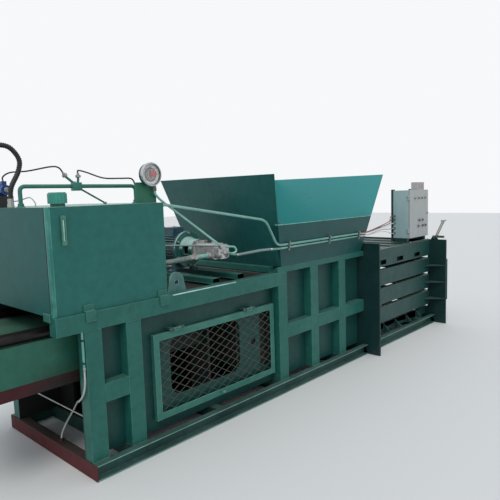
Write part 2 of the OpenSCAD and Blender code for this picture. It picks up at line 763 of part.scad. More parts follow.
// Angle clips that hold the tank on the top rails
module tank_brackets() place() color(green) {
    shelf = tank_y > face_y ? [top_rail_z - 10, top_rail_z] : [top_rail_z, top_rail_z + 10];
    both_sides() for (x = [[14, 80], [tank_x1 - 86, tank_x1 - 11]]) {
        span(x, [-tank_y - 8, -tank_y], [shelf[0], top_rail_z + 46]);
        span(x, [-max(face_y + 10, tank_y + 8), -min(face_y, tank_y)], shelf);
        span(x, [-face_y - 10, -face_y], [top_rail_z - 55, shelf[1]]);
    }
    both_sides() span([tank_x0 - 14, tank_x0], [-tank_y + 20, -tank_y + 100],
        [top_rail_z - 26, top_rail_z + 22]);
}

// Oil level glass in its long frame
module sight_gauge() place() color([0.30, 0.50, 0.42])
    translate([tank_x0 + 82, -tank_y, tank_top - 222]) rotate([90, 0, 0]) {
        difference() {
            linear_extrude(14) round_rect(28, 172, 6);
            translate([7, 24, 4]) linear_extrude(11) round_rect(14, 124, 6);
        }
        for (z = [12, 160]) translate([14, z, 14]) cylinder(h = 5, r = 8, $fn = 6);
    }

// Upright plate at the tank's front corner that carries the pressure gauge
module gauge_bracket() place() color(green) {
    span([gauge_x - 98, gauge_x + 67], [gauge_y, gauge_y + 6], [tank_top, gauge_z - 50]);
    span([gauge_x - 98, gauge_x + 67], [gauge_y + 6, gauge_y + 46], [tank_top, tank_top + 5]);
    difference() {
        translate([gauge_x, gauge_y + 6, gauge_z]) rotate([90, 0, 0]) cylinder(h = 6, r = 50, $fn = 64);
        span([gauge_x - 60, gauge_x + 60], [gauge_y - 1, gauge_y + 7], [gauge_z - 60, gauge_z - 50]);
    }
}

// Dial gauge with a deep case, a bezel, a dial and the pin of its pointer
module pressure_gauge() place() color([0.62, 0.63, 0.60]) {
    translate([gauge_x, gauge_y, gauge_z]) rotate([90, 0, 0]) {
        difference() {
            union() {
                cylinder(h = 10, r = gauge_r - 12, $fn = 96);
                translate([0, 0, 10]) cylinder(h = 32, r = gauge_r - 5, $fn = 96);
                translate([0, 0, 42]) cylinder(h = 14, r = gauge_r, $fn = 96);
            }
            translate([0, 0, 38]) cylinder(h = 30, r = gauge_r - 9, $fn = 96);
        }
        translate([0, 0, 37]) cylinder(h = 12, r = 2.5, $fn = 32);
    }
    translate([gauge_x + 40, gauge_y - 24, gauge_z - gauge_r - 16]) {
        cylinder(h = 40, r = 9, $fn = 32);
        translate([0, 0, -14]) cylinder(h = 22, r = 13, $fn = 6);
    }
}

// Pointer on its hub
module gauge_pointer() place() color([0.65, 0.10, 0.10])
    translate([gauge_x, gauge_y - 40, gauge_z]) rotate([90, 0, 0]) difference() {
        union() {
            cylinder(h = 6, r = 9, $fn = 48);
            translate([0, 0, 1]) linear_extrude(2)
                polygon([[-5, -22], [5, -22], [4, 0], [1, 56], [-1, 56], [-4, 0]]);
        }
        translate([0, 0, -1]) cylinder(h = 8, r = 2.5 + pin_gap, $fn = 32);
    }

// Manifold with the main valve and the two small plugs
module valve_block() place() color([0.16, 0.17, 0.18]) {
    span([valve_x - 62, valve_x + 45], [valve_y - 120, valve_y + 120], [tank_top, valve_z - 42]);
    span([valve_x - 38, valve_x + 38], [valve_y - 42, valve_y + 42], [valve_z - 42, valve_z + 36]);
    for (y = [-80, 80]) translate([valve_x - 20, valve_y + y, valve_z - 42])
        cylinder(h = 7, r = 20, $fn = 6);
}

// Solenoid coils at the two ends of the main valve
module valve_coils() place() color([0.06, 0.20, 0.50])
    for (s = [-1, 1]) {
        translate([valve_x, valve_y + s * 42, valve_z]) rotate([s * -90, 0, 0])
            cylinder(h = 78, r = 33, $fn = 64);
        translate([valve_x, valve_y + s * 120, valve_z]) rotate([s * -90, 0, 0])
            cylinder(h = 12, r = 12, $fn = 32);
        span([valve_x - 15, valve_x + 15], [valve_y + s * 82 - 16, valve_y + s * 82 + 16],
            [valve_z + 28, valve_z + 58]);
    }

// Return pipe over the tank with its tee block and plug connectors
module return_pipe() place() color(green) {
    pipe_run([
        [return_x0, return_y[0], tank_top], [return_x0, return_y[0], return_z],
        [return_x1, return_y[1], return_z - 12], [return_x1, return_y[1], tank_top]
    ], 13);
    translate([tee_x, tee_y, return_z - 8]) rotate([0, 0, -14]) cube([62, 52, 54], center = true);
    for (c = [[-78, 0, 66, -35], [16, 0, 60, 0]])
        translate([tee_x + c[0], tee_y + c[1], return_z + c[2]]) rotate([0, c[3], 0]) {
            cylinder(h = 16, r = 17, center = true, $fn = 32);
            cylinder(h = 34, r = 9, center = true, $fn = 32);
        }
    rod([tee_x, tee_y, return_z], [tee_x - 76, tee_y, return_z + 60], 8);
    rod([tee_x + 10, tee_y, return_z], [tee_x + 16, tee_y, return_z + 50], 8);
    rod([tee_x + 20, tee_y, return_z - 20], [tee_x + 205, tee_y, tank_top + 8], 6);
    translate([tee_x + 205, tee_y, tank_top]) cylinder(h = 16, r = 11, $fn = 6);
}

// Finned motor with its end plates, feet, terminal box and fan cowl
module motor_housing() place() color(green) {
    translate([motor_x, flange_y, motor_z]) rotate([-90, 0, 0]) difference() {
        union() {
            cylinder(h = 15, r = bell_r, $fn = 96);
            translate([0, 0, 14]) cylinder(h = 30, r = motor_d / 2 - 12, $fn = 96);
            translate([0, 0, 40]) linear_extrude(330) {
                circle(r = motor_d / 2 - 16, $fn = 96);
                for (a = [0:12:359]) rotate(a) translate([motor_d / 2 - 20, -2]) square([20, 4]);
            }
            translate([0, 0, 369]) cylinder(h = 30, r = motor_d / 2 - 8, $fn = 96);
            translate([0, 0, 398]) cylinder(h = 96, r = motor_d / 2, $fn = 96);
        }
        translate([0, 0, 30]) cylinder(h = 335, r = 86, $fn = 96);
        translate([0, 0, -1]) cylinder(h = 420, r = shaft_r + pin_gap, $fn = 64);
        translate([0, 0, 404]) cylinder(h = 84, r = motor_d / 2 - 4, $fn = 96);
        for (r = [30, 52, 74, 96], a = [0:45:359]) rotate([0, 0, a + r]) translate([r, -4, 480])
            cube([12, 8, 20]);
    }
    for (y = [70, 310]) difference() {
        span([motor_x - 155, motor_x + 155], [y - 22, y + 22],
            [motor_z - shaft_h, motor_z - motor_d / 2 + 28]);
        span([motor_x - 90, motor_x + 90], [y - 23, y + 23],
            [motor_z - shaft_h - 1, motor_z - shaft_h + 26]);
        translate([motor_x, y - 23, motor_z]) rotate([-90, 0, 0])
            cylinder(h = 46, r = motor_d / 2 - 18, $fn = 96);
        for (s = [-1, 1]) span([motor_x + s * 146 - 42, motor_x + s * 146 + 42], [y - 23, y + 23],
            [motor_z - shaft_h + 16, motor_z]);
    }
    difference() {
        span([motor_x - 60, motor_x + 60], [110, 230], [motor_z + motor_d / 2 - 26,
            motor_z + motor_d / 2 + 46]);
        translate([motor_x, 109, motor_z]) rotate([-90, 0, 0])
            cylinder(h = 122, r = motor_d / 2 - 18, $fn = 96);
    }
}

// Rotor, shaft, cooling fan and the motor half of the coupling
module motor_shaft() place() color(steel)
    translate([motor_x, flange_y, motor_z]) rotate([-90, 0, 0]) {
        translate([0, 0, -62]) cylinder(h = 520, r = shaft_r, $fn = 64);
        translate([0, 0, 80]) cylinder(h = 240, r = 82, $fn = 96);
        translate([0, 0, 420]) cylinder(h = 30, r = 38, $fn = 64);
        for (a = [0:45:359]) rotate([0, 0, a]) translate([34, -3, 420]) cube([70, 6, 36]);
        translate([0, 0, -66]) cylinder(h = 46, r = 46, $fn = 64);
        for (a = [0, 120, 240]) rotate([0, 0, a]) translate([22, -9, -84]) cube([18, 18, 20]);
    }

// Cast bell between the motor and the pump, with two windows over the coupling
module bell_housing() place() color(green)
    translate([motor_x, flange_y, motor_z]) rotate([90, 0, 0]) difference() {
        union() {
            cylinder(h = 13, r = bell_r, $fn = 96);
            translate([0, 0, 12]) rotate_extrude($fn = 96)
                polygon([
                    [0, 0], [104, 0], [92, 30], [84, bell_len - 24], [84, bell_len - 12],
                    [0, bell_len - 12]
                ]);
            for (a = [30:60:359]) rotate([0, 0, a]) translate([bell_r - 18, 0, 12])
                cylinder(h = 9, r = 10, $fn = 6);
        }
        translate([0, 0, -1]) cylinder(h = bell_len - 13, r = 72, $fn = 96);
        translate([0, 0, -1]) cylinder(h = bell_len + 2, r = 30, $fn = 64);
        for (s = [-1, 1]) translate([s * 60 - 50, -34, 38]) cube([100, 68, 68]);
    }

// Gear pump: mounting flange, body, centre section and end cover
module pump() place() color([0.55, 0.53, 0.52])
    translate([motor_x, pump_y, motor_z]) rotate([90, 0, 0]) {
        difference() {
            union() {
                pump_slice(0, 16, 150, 150, 20);
                pump_slice(15, 120, 112, 112, 22);
                pump_slice(134, 92, 128, 124, 26);
                pump_slice(225, 62, 112, 112, 30);
            }
            for (x = [-62, 62], y = [-62, 62]) translate([x, y, 9])
                cylinder(h = 20, r = 6, $fn = 32);
        }
        translate([0, 0, -49]) cylinder(h = 50, r = 15, $fn = 48);
        translate([0, 0, -49]) difference() {
            cylinder(h = 22, r = 46, $fn = 64);
            for (a = [0, 120, 240]) rotate([0, 0, a]) translate([20, -11, -13]) cube([22, 22, 21]);
        }
        translate([0, 0, 286]) cylinder(h = 24, r = 22, $fn = 6);
        translate([0, 50, 180]) rotate([-90, 0, 0]) cylinder(h = 30, r = 20, $fn = 48);
        for (s = [-1, 1]) translate([s * 50, port_z - motor_z, 180]) rotate([0, s * 90, 0])
            cylinder(h = 34, r = 24, $fn = 48);
    }

module pump_slice(z, h, w, d, r)
    translate([-w / 2, -d / 2, z]) linear_extrude(h) round_rect(w, d, r);

// Braided suction hose between the tank's front plate and the pump
module suction_hose() place() color([0.55, 0.56, 0.54]) {
    translate([tank_x1, port_y, port_z]) rotate([0, 90, 0]) {
        cylinder(h = 8, r = 42, $fn = 48);
        translate([0, 0, 7]) cylinder(h = 34, r = 27, $fn = 6);
    }
    hose([
        [tank_x1 + 40, port_y, port_z], [tank_x1 + 110, port_y, port_z - 3],
        [tank_x1 + 190, port_y + 2, port_z - 8], [tank_x1 + 270, port_y + 2, port_z - 6],
        [hose_end_x - 60, port_y, port_z], [hose_end_x, port_y, port_z]
    ], 20, 12, 4);
    translate([hose_end_x - 0.5, port_y, port_z]) rotate([0, 90, 0])
        cylinder(h = 30, r = 26, $fn = 6);
}

// Steel oil pipes: the end of the suction line and the gauge line round the pump's nose
module oil_pipes() place() color(green) {
    rod([hose_end_x + 29.5, port_y, port_z], [port_x, port_y, port_z], 17);
    nose_y = pump_y - 357;
    pipe_run([
        [gauge_x + 40, gauge_y - 24, gauge_z - gauge_r - 31],
        [gauge_x + 41, gauge_y - 24, gauge_z - gauge_r - 52],
        [gauge_x + 92, gauge_y - 6, tank_top + 20],
        [motor_x - 96, nose_y, motor_z + 56], [motor_x + 54, nose_y, motor_z + 36],
        [motor_x + 75, nose_y, motor_z], [motor_x + 34, nose_y, motor_z - 14],
        [motor_x + 34, pump_y - 287.4, motor_z - 14]
    ], 8);
}

// Hydraulic hose that arches from the tank's rear edge down to the barrel's rear port
module cylinder_hose() place() color([0.06, 0.06, 0.07]) {
    translate([arch_x, 0, tank_top]) cylinder(h = 26, r = 20, $fn = 6);
    hose([
        [arch_x, 0, tank_top + 26], [arch_x + 10, 0, tank_top + 124], [arch_x + 64, 0, 1905],
        [arch_x + 72, 0, 1985], [arch_x + 2, 0, 2060], [arch_x - 120, 0, 2040],
        [arch_x - 230, 0, 1880], [arch_x - 310, 0, 1600], [arch_x - 370, 0, 1300],
        [oil_port_x, 0, 1080], [oil_port_x, 0, cyl_z + barrel_r + 58]
    ], 16, 12, 4);
    translate([oil_port_x, 0, cyl_z + barrel_r + 30]) cylinder(h = 28.5, r = 21, $fn = 6);
}

// Across position of a conduit that lies on the leaning hopper plate
function wall_y(z, r) = -face_y - flare_side * (z - press_top_z) / hopper_h - (r + 0.6) * 1.02;

// Painted conduits from the tank and the pump to the cabinet leads, with their clips
module conduits() place() color([0.22, 0.45, 0.38]) {
    pipe_run([
        [tank_x1 + 0.4, gauge_y - 22, tank_top - 18], [tank_x1 + 34, gauge_y - 22, tank_top - 18],
        [rim_x0 - 45, wall_y(1503, 10), 1503],
        [hopper_x0 - 107, wall_y(cond_z, 10), cond_z], [cond_x1, wall_y(cond_z, 10), cond_z]
    ], 10);
    pipe_run([
        [motor_x + 84.4, port_y, port_z], [motor_x + 114, port_y, port_z],
        [motor_x + 190, port_y - 60, port_z - 22],
        [hopper_x0 - 183, port_y - 178, cond_z - 33],
        [hopper_x0 - 78, wall_y(cond_z - 27, 10) - 3, cond_z - 27],
        [cond_x1, wall_y(cond_z - 27, 10), cond_z - 27]
    ], 9);
    for (x = [hopper_x0 + 40, hopper_x0 + 640, cond_x1 - 40])
        translate([x - 9, 0, 0]) rotate([90, 0, 90]) linear_extrude(18) polygon([
            [wall_y(cond_z - 42, -0.3), cond_z - 42], [wall_y(cond_z + 13, -0.3), cond_z + 13],
            [wall_y(cond_z + 13, 26), cond_z + 13], [wall_y(cond_z - 42, 26), cond_z - 42]
        ]);
    rod([-10.5, -face_y + 12, 690], [-10.5, -face_y + 12, top_rail_z - top_rail_h - 0.3], 8);
    for (z = [730, 870]) span([-20, 0], [-face_y + 2, -face_y + 22], [z, z + 14]);
}

// Base plate, feet and uprights that carry the cabinet on the tunnel
module cabinet_stand() place() color(dark_green) {
    difference() {
        span([cab_x0 - 10, end_x], [-bar_y + 6, cab_y1 + 30], [bar_top_z, bar_top_z + 8]);
        span([cab_x0 + 60, end_x - 60], [cab_y0 + 50, cab_y1 - 40], [bar_top_z - 1, bar_top_z + 9]);
    }
    for (x = [cab_x0, cab_x1 - 40]) {
        span([x, x + 40], [cab_y1, cab_y1 + 6], [bar_top_z + 8, cab_z1 + 14]);
        span([x, x + 6], [cab_y1 + 6, cab_y1 + 30], [bar_top_z + 8, cab_z1 + 14]);
        span([x, x + 40], [cab_y0 + cab_door_t + 12, cab_y1 - 20], [bar_top_z + 8, cab_z0]);
    }
}

// Sheet cabinet, open towards its door, with hinge pins, cable glands and the buzzer on top
module cabinet_body() place() color(cabinet_white) {
    y0 = cab_y0 + cab_door_t + seat_gap;
    difference() {
        span([cab_x0, cab_x1], [y0, cab_y1], [cab_z0, cab_z1]);
        span([cab_x0 + cab_t, cab_x1 - cab_t], [y0 + cab_t, cab_y1 - cab_t],
            [cab_z0 + cab_t, cab_z1 - cab_t]);
        span([cab_x0 + 20, cab_x1 - 20], [y0 - 1, y0 + 3], [cab_z0 + 20, cab_z1 - 20]);
    }
    span([cab_x0 + 25, cab_x1 - 25], [cab_y1 - cab_t - 10, cab_y1 - cab_t - 7],
        [cab_z0 + 25, cab_z1 - 25]);
    for (x = [cab_x0 + 60, cab_x1 - 60], z = [cab_z0 + 60, cab_z1 - 60])
        translate([x, cab_y1 - cab_t - 7.5, z]) rotate([-90, 0, 0]) cylinder(h = 8, r = 6, $fn = 24);
    for (z = cab_hinge_z) {
        translate([cab_pin_x, cab_pin_y, z - 24]) cylinder(h = 48, r = 4, $fn = 48);
        for (s = [-1, 1]) translate([cab_pin_x, cab_pin_y, z + s * 19 - 6]) {
            cylinder(h = 12, r = 8, $fn = 48);
            cube([cab_x0 - cab_pin_x - seat_gap, y0 + 20 - cab_pin_y, 12]);
            translate([0, y0 + 2 - cab_pin_y, 0]) cube([cab_x0 - cab_pin_x + 1, 18, 12]);
        }
    }
    for (z = lead_z) translate([cab_x0 - 18, lead_y, z]) rotate([0, 90, 0])
        cylinder(h = 18.5, r = 11, $fn = 6);
    difference() {
        span([cab_x0 + 282, cab_x0 + 470], [cab_y0 + 40, cab_y0 + 120], [cab_z1 - 0.5, cab_z1 + 96]);
        for (k = [0:4]) span([cab_x0 + 300, cab_x0 + 452], [cab_y0 + 39, cab_y0 + 46],
            [cab_z1 + 18 + 14 * k, cab_z1 + 24 + 14 * k]);
    }
}

// Cabinet door with a folded edge, hinge eyes, lamp seats, button guides and its lock
module cabinet_door() place() color(cabinet_white) {
    difference() {
        union() {
            difference() {
                span([cab_x0, cab_x1], [cab_y0, cab_y0 + cab_door_t], [cab_z0, cab_z1]);
                span([cab_x0 + cab_t, cab_x1 - cab_t], [cab_y0 + cab_t, cab_y0 + cab_door_t + 1],
                    [cab_z0 + cab_t, cab_z1 - cab_t]);
            }
            for (b = button_at) translate([b[0], cab_y0 + 10, b[1]]) rotate([90, 0, 0])
                cylinder(h = 14, r = 16, $fn = 48);
            for (z = cab_hinge_z) {
                translate([cab_pin_x, cab_pin_y, z - 12.5]) cylinder(h = 25, r = 8, $fn = 48);
                translate([cab_pin_x, cab_pin_y - 3, z - 12.5]) cube([cab_x0 - cab_pin_x + 1, 6, 25]);
            }
        }
        for (b = button_at) translate([b[0], cab_y0 + 11, b[1]]) rotate([90, 0, 0])
            cylinder(h = 30, r = button_r + pin_gap, $fn = 48);
        for (z = cab_hinge_z) translate([cab_pin_x, cab_pin_y, z - 20])
            cylinder(h = 40, r = 4 + pin_gap, $fn = 48);
    }
    translate([cab_x1 - 28, cab_y0 + 1, (cab_z0 + cab_z1) / 2]) rotate([90, 0, 0])
        cylinder(h = 9, r = 12, $fn = 32);
}

// Row of indicator lamps on the cabinet door
module pilot_lamps() place() color([0.20, 0.10, 0.10])
    for (k = [0:3]) translate([cab_x0 + 132 + 91 * k, cab_y0, cab_z1 - 96]) rotate([90, 0, 0]) {
        cylinder(h = 5, r = 15, $fn = 48);
        translate([0, 0, 4]) cylinder(h = 8, r = 11, $fn = 48);
        translate([0, 0, 12]) sphere(r = 8, $fn = 32);
    }

// Push button with its collar behind the door
module button(i, c) place() color(c)
    translate([button_at[i][0], cab_y0 + 13 + seat_gap, button_at[i][1]]) rotate([90, 0, 0]) {
        cylinder(h = 3, r = button_r + 3, $fn = 48);
        translate([0, 0, 2]) cylinder(h = 23 + button_travel, r = button_r, $fn = 48);
    }
module button_1() button(0, [0.08, 0.08, 0.08]);
module button_2() button(1, [0.08, 0.08, 0.08]);
module button_3() button(2, [0.55, 0.10, 0.10]);
module button_4() button(3, [0.08, 0.08, 0.08]);
module button_5() button(4, [0.08, 0.08, 0.08]);

// Fixed eyes and pins of the two hinges over the guard door
module guard_hinges() place() color(dark_green)
    for (x = guard_hinge_x) {
        translate([x, -hinge_y, hinge_z]) rotate([0, 90, 0])
            cylinder(h = hinge_len, r = hinge_pin_r, $fn = 48);
        for (s = [0, hinge_len - 32]) {
            translate([x + s, -hinge_y, hinge_z]) rotate([0, 90, 0])
                cylinder(h = 32, r = hinge_r, $fn = 48);
            span([x + s, x + s + 32], [-hinge_y, -plate_y], [hinge_z - 5, hinge_z + hinge_r]);
        }
    }

// Angle frame of the guard door with its hinge eyes and the turn catch
module guard_door() place() color(green) {
    difference() {
        span([guard_x0, guard_x1], [-guard_y, -guard_y + guard_d], [guard_z0, guard_z1]);
        span([guard_x0 + guard_angle, guard_x1 - guard_angle], [-guard_y - 1, -guard_y + guard_d + 1],
            [guard_z0 + guard_angle, guard_z1 - guard_angle]);
        span([guard_x0 + 5, guard_x1 - 5], [-guard_y + 5, -guard_y + guard_d + 1],
            [guard_z0 + 5, guard_z1 - 5]);
    }
    for (x = guard_hinge_x) difference() {
        union() {
            translate([x + 33, -hinge_y, hinge_z]) rotate([0, 90, 0])
                cylinder(h = hinge_len - 66, r = hinge_r, $fn = 48);
            span([x + 33, x + hinge_len - 33], [-hinge_y - 4, -guard_y + 5], [guard_z1 - 4, hinge_z]);
        }
        translate([x, -hinge_y, hinge_z]) rotate([0, 90, 0])
            cylinder(h = hinge_len, r = hinge_pin_r + pin_gap, $fn = 48);
    }
    translate([(guard_x0 + guard_x1) / 2, -guard_y + 1, guard_z0 + guard_angle / 2]) rotate([90, 0, 0]) {
        cylinder(h = 14, r = 11, $fn = 32);
        translate([-24, -6, 13]) linear_extrude(5) round_rect(48, 12, 5);
    }
}

// Diamond mesh sheet behind the angle frame
module guard_mesh() place() color([0.10, 0.30, 0.25]) {
    edge = 10;
    w = guard_w - 2 * edge;
    h = guard_h - 2 * edge;
    slope = norm([mesh_x, mesh_z]);
    a = mesh_x / 2 - strand / 2 * slope / mesh_z;
    b = mesh_z / 2 - strand / 2 * slope / mesh_x;
    nx = floor((w - 12) / mesh_x);
    nz = floor((h - 12) / mesh_z);
    translate([guard_x0 + edge, -guard_y + 8, guard_z0 + edge]) rotate([90, 0, 0])
        linear_extrude(3) difference() {
            square([w, h]);
            intersection() {
                translate([8, 8]) square([w - 16, h - 16]);
                union() {
                    for (i = [-1:nx], j = [-1:nz])
                        diamond(mesh_cell(w, nx, i, mesh_x), mesh_cell(h, nz, j, mesh_z), a, b);
                    for (i = [0:nx], j = [0:nz])
                        diamond(mesh_cell(w, nx, i - 0.5, mesh_x), mesh_cell(h, nz, j - 0.5, mesh_z), a, b);
                }
            }
        }
}
function mesh_cell(size, n, i, pitch) = size / 2 + (i - (n - 1) / 2) * pitch;
module diamond(x, y, a, b) translate([x, y]) polygon([[-a, 0], [0, -b], [a, 0], [0, b]]);

// Bale door: slotted skin, ribs between the slots, hinge ears and the grab bar
module bale_door() place() color(dark_green) {
    difference() {
        union() {
            span([door_x0, door_x0 + door_skin], [-door_half, door_half], [door_z0, door_z1]);
            for (k = [0:4]) door_tray(k);
            both_sides() difference() {
                span([door_x0 + door_skin - 1, door_x1], [-door_half, -door_half + 70],
                    [door_z0, door_z1]);
                span([door_x0 + door_skin, door_x1 - 8], [-door_half + 8, -door_half + 62],
                    [door_z0 + 8, door_z1 - 8]);
            }
        }
        for (z = slot_z) span([door_x0 - 1, door_x1 + 1], [-half_in - 40, half_in + 40], [z, z + slot_h]);
    }
    far_side() for (z = door_hinge_z) difference() {
        union() {
            translate([door_pin_x, -door_pin_y, z - 33])
                cylinder(h = 66, r = door_eye_r, $fn = 64);
            span([door_x0, door_x0 + door_skin + 20], [-door_pin_y + 16, -door_half + 1], [z - 33, z + 33]);
        }
        translate([door_pin_x, -door_pin_y, z - 34]) cylinder(h = 68, r = door_pin_r + pin_gap, $fn = 64);
    }
    translate([door_x0 + 27, -hoop_w / 2 + 14, 304]) cylinder(h = 512, r = 13, $fn = 32);
    for (z = [350, 750]) span([door_x0 + 19, door_x0 + 35], [-hoop_w / 2 + 14, -door_half + 1], [z, z + 20]);
}

// Rib tray across the door between two strapping slots
module door_tray(k) {
    z0 = k == 0 ? door_z0 : slot_z[k - 1] + slot_h + 14;
    z1 = k == 4 ? door_z1 : slot_z[k] - 14;
    if (z1 - z0 > 40) difference() {
        span([door_x0 + door_skin - 1, door_x1], [-door_half + 69, door_half - 69], [z0, z1]);
        span([door_x0 + door_skin, door_x1 + 1], [-door_half + 77, door_half - 77], [z0 + 8, z1 - 8]);
    }
}

// Lock lever: shaft, two rods with a cross bar, and the tongue that drops before the door
module latch_lever() place() color([0.62, 0.62, 0.58]) {
    translate([end_x - 14, lever_y, lever_z]) rotate([0, 90, 0])
        cylinder(h = lever_x1 + 12 - end_x + 14, r = lever_r, $fn = 64);
    translate([end_x - 14, lever_y, lever_z]) rotate([0, 90, 0])
        cylinder(h = 13, r = lever_r + 6, $fn = 64);
    tip = [0, -lever_len * sin(lever_lean), lever_len * cos(lever_lean)];
    for (x = [lever_x0, lever_x1]) {
        rod([x, lever_y, lever_z], [x, lever_y, lever_z] + tip, lever_rod);
        translate([x - 9, lever_y, lever_z]) rotate([0, 90, 0]) cylinder(h = 18, r = 18, $fn = 48);
    }
    rod([lever_x0 - 40, lever_y, lever_z] + tip, [lever_bar_end, lever_y, lever_z] + tip, 8);
    span([lever_x1 - 9, lever_x1 + 3], [lever_y - 95, lever_y], [lever_z - 14, lever_z + 14]);
}

// Leads between the conduits and the cabinet, drawn tight from end to end
module cabinet_cables() place() color([0.75, 0.75, 0.73])
    for (i = [0:4]) {
        y0 = wall_y(cond_z, 10);
        z0 = i < 3 ? cond_z + 5 - 5 * i : cond_z - 24 - 6 * (i - 3);
        hose([
            [cond_x1 + 0.4, y0 - 1, z0], [cond_x1 + 90, y0 - 1, z0],
            [cond_x1 + 210, y0 + 14, z0 + 4 - i],
            [cond_x1 + 560, y0 + 75, cond_z + 12 + 0.30 * (lead_z[i] - lead_z[2])],
            [cond_x1 + 930, y0 + 175, cond_z + 8 + 0.62 * (lead_z[i] - lead_z[2])],
            [cab_x0 - 125, lead_y - 10, lead_z[i] - 0.05 * (lead_z[i] - cond_z)],
            [cab_x0 - 60, lead_y - 0.6, lead_z[i] - 0.4], [cab_x0 - 18.8, lead_y, lead_z[i]]
        ], i == 4 ? 4 : 5, 8, 2);
    }

// Thin leads between the plugs on top of the tank
module tank_leads() place() color([0.05, 0.05, 0.05]) {
    hose([
        [tee_x + 16, tee_y, return_z + 77.8], [tee_x + 18, tee_y - 3, return_z + 96],
        [tee_x + 52, tee_y - 45, return_z + 82], [tee_x + 122, tee_y - 130, return_z + 42],
        [tee_x + 196, tee_y - 214, return_z + 36], [gauge_x - 86, gauge_y + 54, return_z + 32],
        [gauge_x - 66, gauge_y + 44, gauge_z - 66], [gauge_x - 64, gauge_y + 26, gauge_z - 74],
        [gauge_x - 64, gauge_y + 7, gauge_z - 74]
    ], 5, 8, 3);
    hose([
        [valve_x, valve_y - 82, valve_z + 58.9], [valve_x, valve_y - 84, valve_z + 86],
        [valve_x + 30, valve_y - 130, valve_z + 112], [valve_x + 90, valve_y - 250, valve_z + 116],
        [tee_x - 150, tee_y + 40, return_z + 120], [tee_x - 112, tee_y + 6, return_z + 113],
        [tee_x - 89.4, tee_y, return_z + 82.2]
    ], 5, 8, 3);
    hose([
        [valve_x + 45.4, valve_y - 100, tank_top + 40], [valve_x + 72, valve_y - 104, tank_top + 40],
        [valve_x + 92, valve_y - 150, tank_top + 50], [valve_x + 98, valve_y - 240, tank_top + 60],
        [valve_x + 100, valve_y - 302, tank_top + 26], [valve_x + 100, valve_y - 304, tank_top + 0.9]
    ], 4, 8, 3);
}

// Pale cable that hangs from the rear conduit to the gland on the rear end beam
module rear_cable() place() color([0.70, 0.72, 0.70])
    hose([
        [-10.5, -548, 689.7], [-10.5, -548, 652], [-11, -546, 612], [-12, -538, 574],
        [-13, -522, 538], [-13, -496, 506], [-10, -462, 480], [4, -422, 460], [26, -380, 444],
        [48, -336, 428], [68, -292, 408], [82, -250, 380], [88, -214, 346], [86, -182, 306],
        [76, -154, 264], [62, -132, 222], [46, -118, 182], [35, -111, 148], [30, -110, 119.2]
    ], 6, 10, 2);

base_frame();
rear_end_beam();
press_floor();
side_frame_near();
side_frame_far();
side_plate_near();
side_plate_far();
press_top_frame();
hoop_plate();
tunnel_bars_near();
tunnel_bars_far();
tunnel_roof();
end_plate();
hopper();
fixed_blade();
rear_beams();
rear_cross_plate();
tie_bars();
cylinder_barrel();
lifting_lugs();
motor_rails();
oil_tank();
tank_brackets();
sight_gauge();
gauge_bracket();
pressure_gauge();
gauge_pointer();
filler_cap();
valve_block();
valve_coils();
return_pipe();
tank_leads();
motor_housing();
motor_shaft();
bell_housing();
pump();
suction_hose();
oil_pipes();
cylinder_hose();
conduits();
cabinet_stand();
cabinet_body();
cabinet_door();
pilot_lamps();
button_1();
button_2();
button_3();
button_4();
button_5();
guard_hinges();
guard_door();
guard_mesh();
ram();
ram_blade();
piston_rod();
bale_door();
latch_lever();
cabinet_cables();
rear_bar();
rear_cable();
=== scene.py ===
"""A horizontal hydraulic recycling baler: enamelled press, hopper, tank, power unit, tunnel and cabinet."""

import math

import bmesh
import bpy
from mathutils import Matrix, Vector


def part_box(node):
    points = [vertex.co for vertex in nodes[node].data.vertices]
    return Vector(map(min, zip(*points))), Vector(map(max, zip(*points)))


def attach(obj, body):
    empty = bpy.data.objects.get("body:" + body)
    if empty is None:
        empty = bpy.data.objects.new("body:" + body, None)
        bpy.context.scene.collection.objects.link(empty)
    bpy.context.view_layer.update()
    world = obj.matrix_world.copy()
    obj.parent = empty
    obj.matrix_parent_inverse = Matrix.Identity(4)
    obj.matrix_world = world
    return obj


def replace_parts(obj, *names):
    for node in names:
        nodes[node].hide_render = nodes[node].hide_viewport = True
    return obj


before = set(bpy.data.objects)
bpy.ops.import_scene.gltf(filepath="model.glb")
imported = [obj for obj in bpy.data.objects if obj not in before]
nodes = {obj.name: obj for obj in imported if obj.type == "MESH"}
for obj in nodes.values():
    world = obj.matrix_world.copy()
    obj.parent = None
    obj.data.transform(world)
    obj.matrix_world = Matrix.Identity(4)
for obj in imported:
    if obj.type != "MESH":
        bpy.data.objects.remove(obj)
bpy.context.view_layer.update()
bpy.ops.object.select_all(action="DESELECT")

# Stations count from the rear face of the first upright, in millimetres, as a maker's drawing
# would give them. The upright's place comes from the side plate, which starts there.
first_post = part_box("side_plate_near")[0].x


def at(x, y, z):
    return Vector((first_post + x / 1000, y / 1000, z / 1000))


# ---------------------------------------------------------------- Camera, daylight and floor
# The viewpoint stands off the cylinder end on the guard door's side, at eye height, and the
# light is a plain overcast sky with one soft high lamp that shapes the recesses.
stand = at(-1558, -3376, 1724)
yaw, pitch, roll = (math.radians(a) for a in (47.08, -6.26, -1.84))
ahead = Vector((math.cos(pitch) * math.sin(yaw), math.cos(pitch) * math.cos(yaw), math.sin(pitch)))
level = Vector((math.cos(yaw), -math.sin(yaw), 0))
upward = level.cross(ahead)
right = level * math.cos(roll) + upward * math.sin(roll)
crown = upward * math.cos(roll) - level * math.sin(roll)
eye = bpy.data.cameras.new("eye")
eye.lens, eye.sensor_width = 37.8, 36.0
viewpoint = bpy.data.objects.new("viewpoint", eye)
viewpoint.matrix_world = Matrix(
    (
        (right.x, crown.x, -ahead.x, stand.x),
        (right.y, crown.y, -ahead.y, stand.y),
        (right.z, crown.z, -ahead.z, stand.z),
        (0, 0, 0, 1),
    )
)
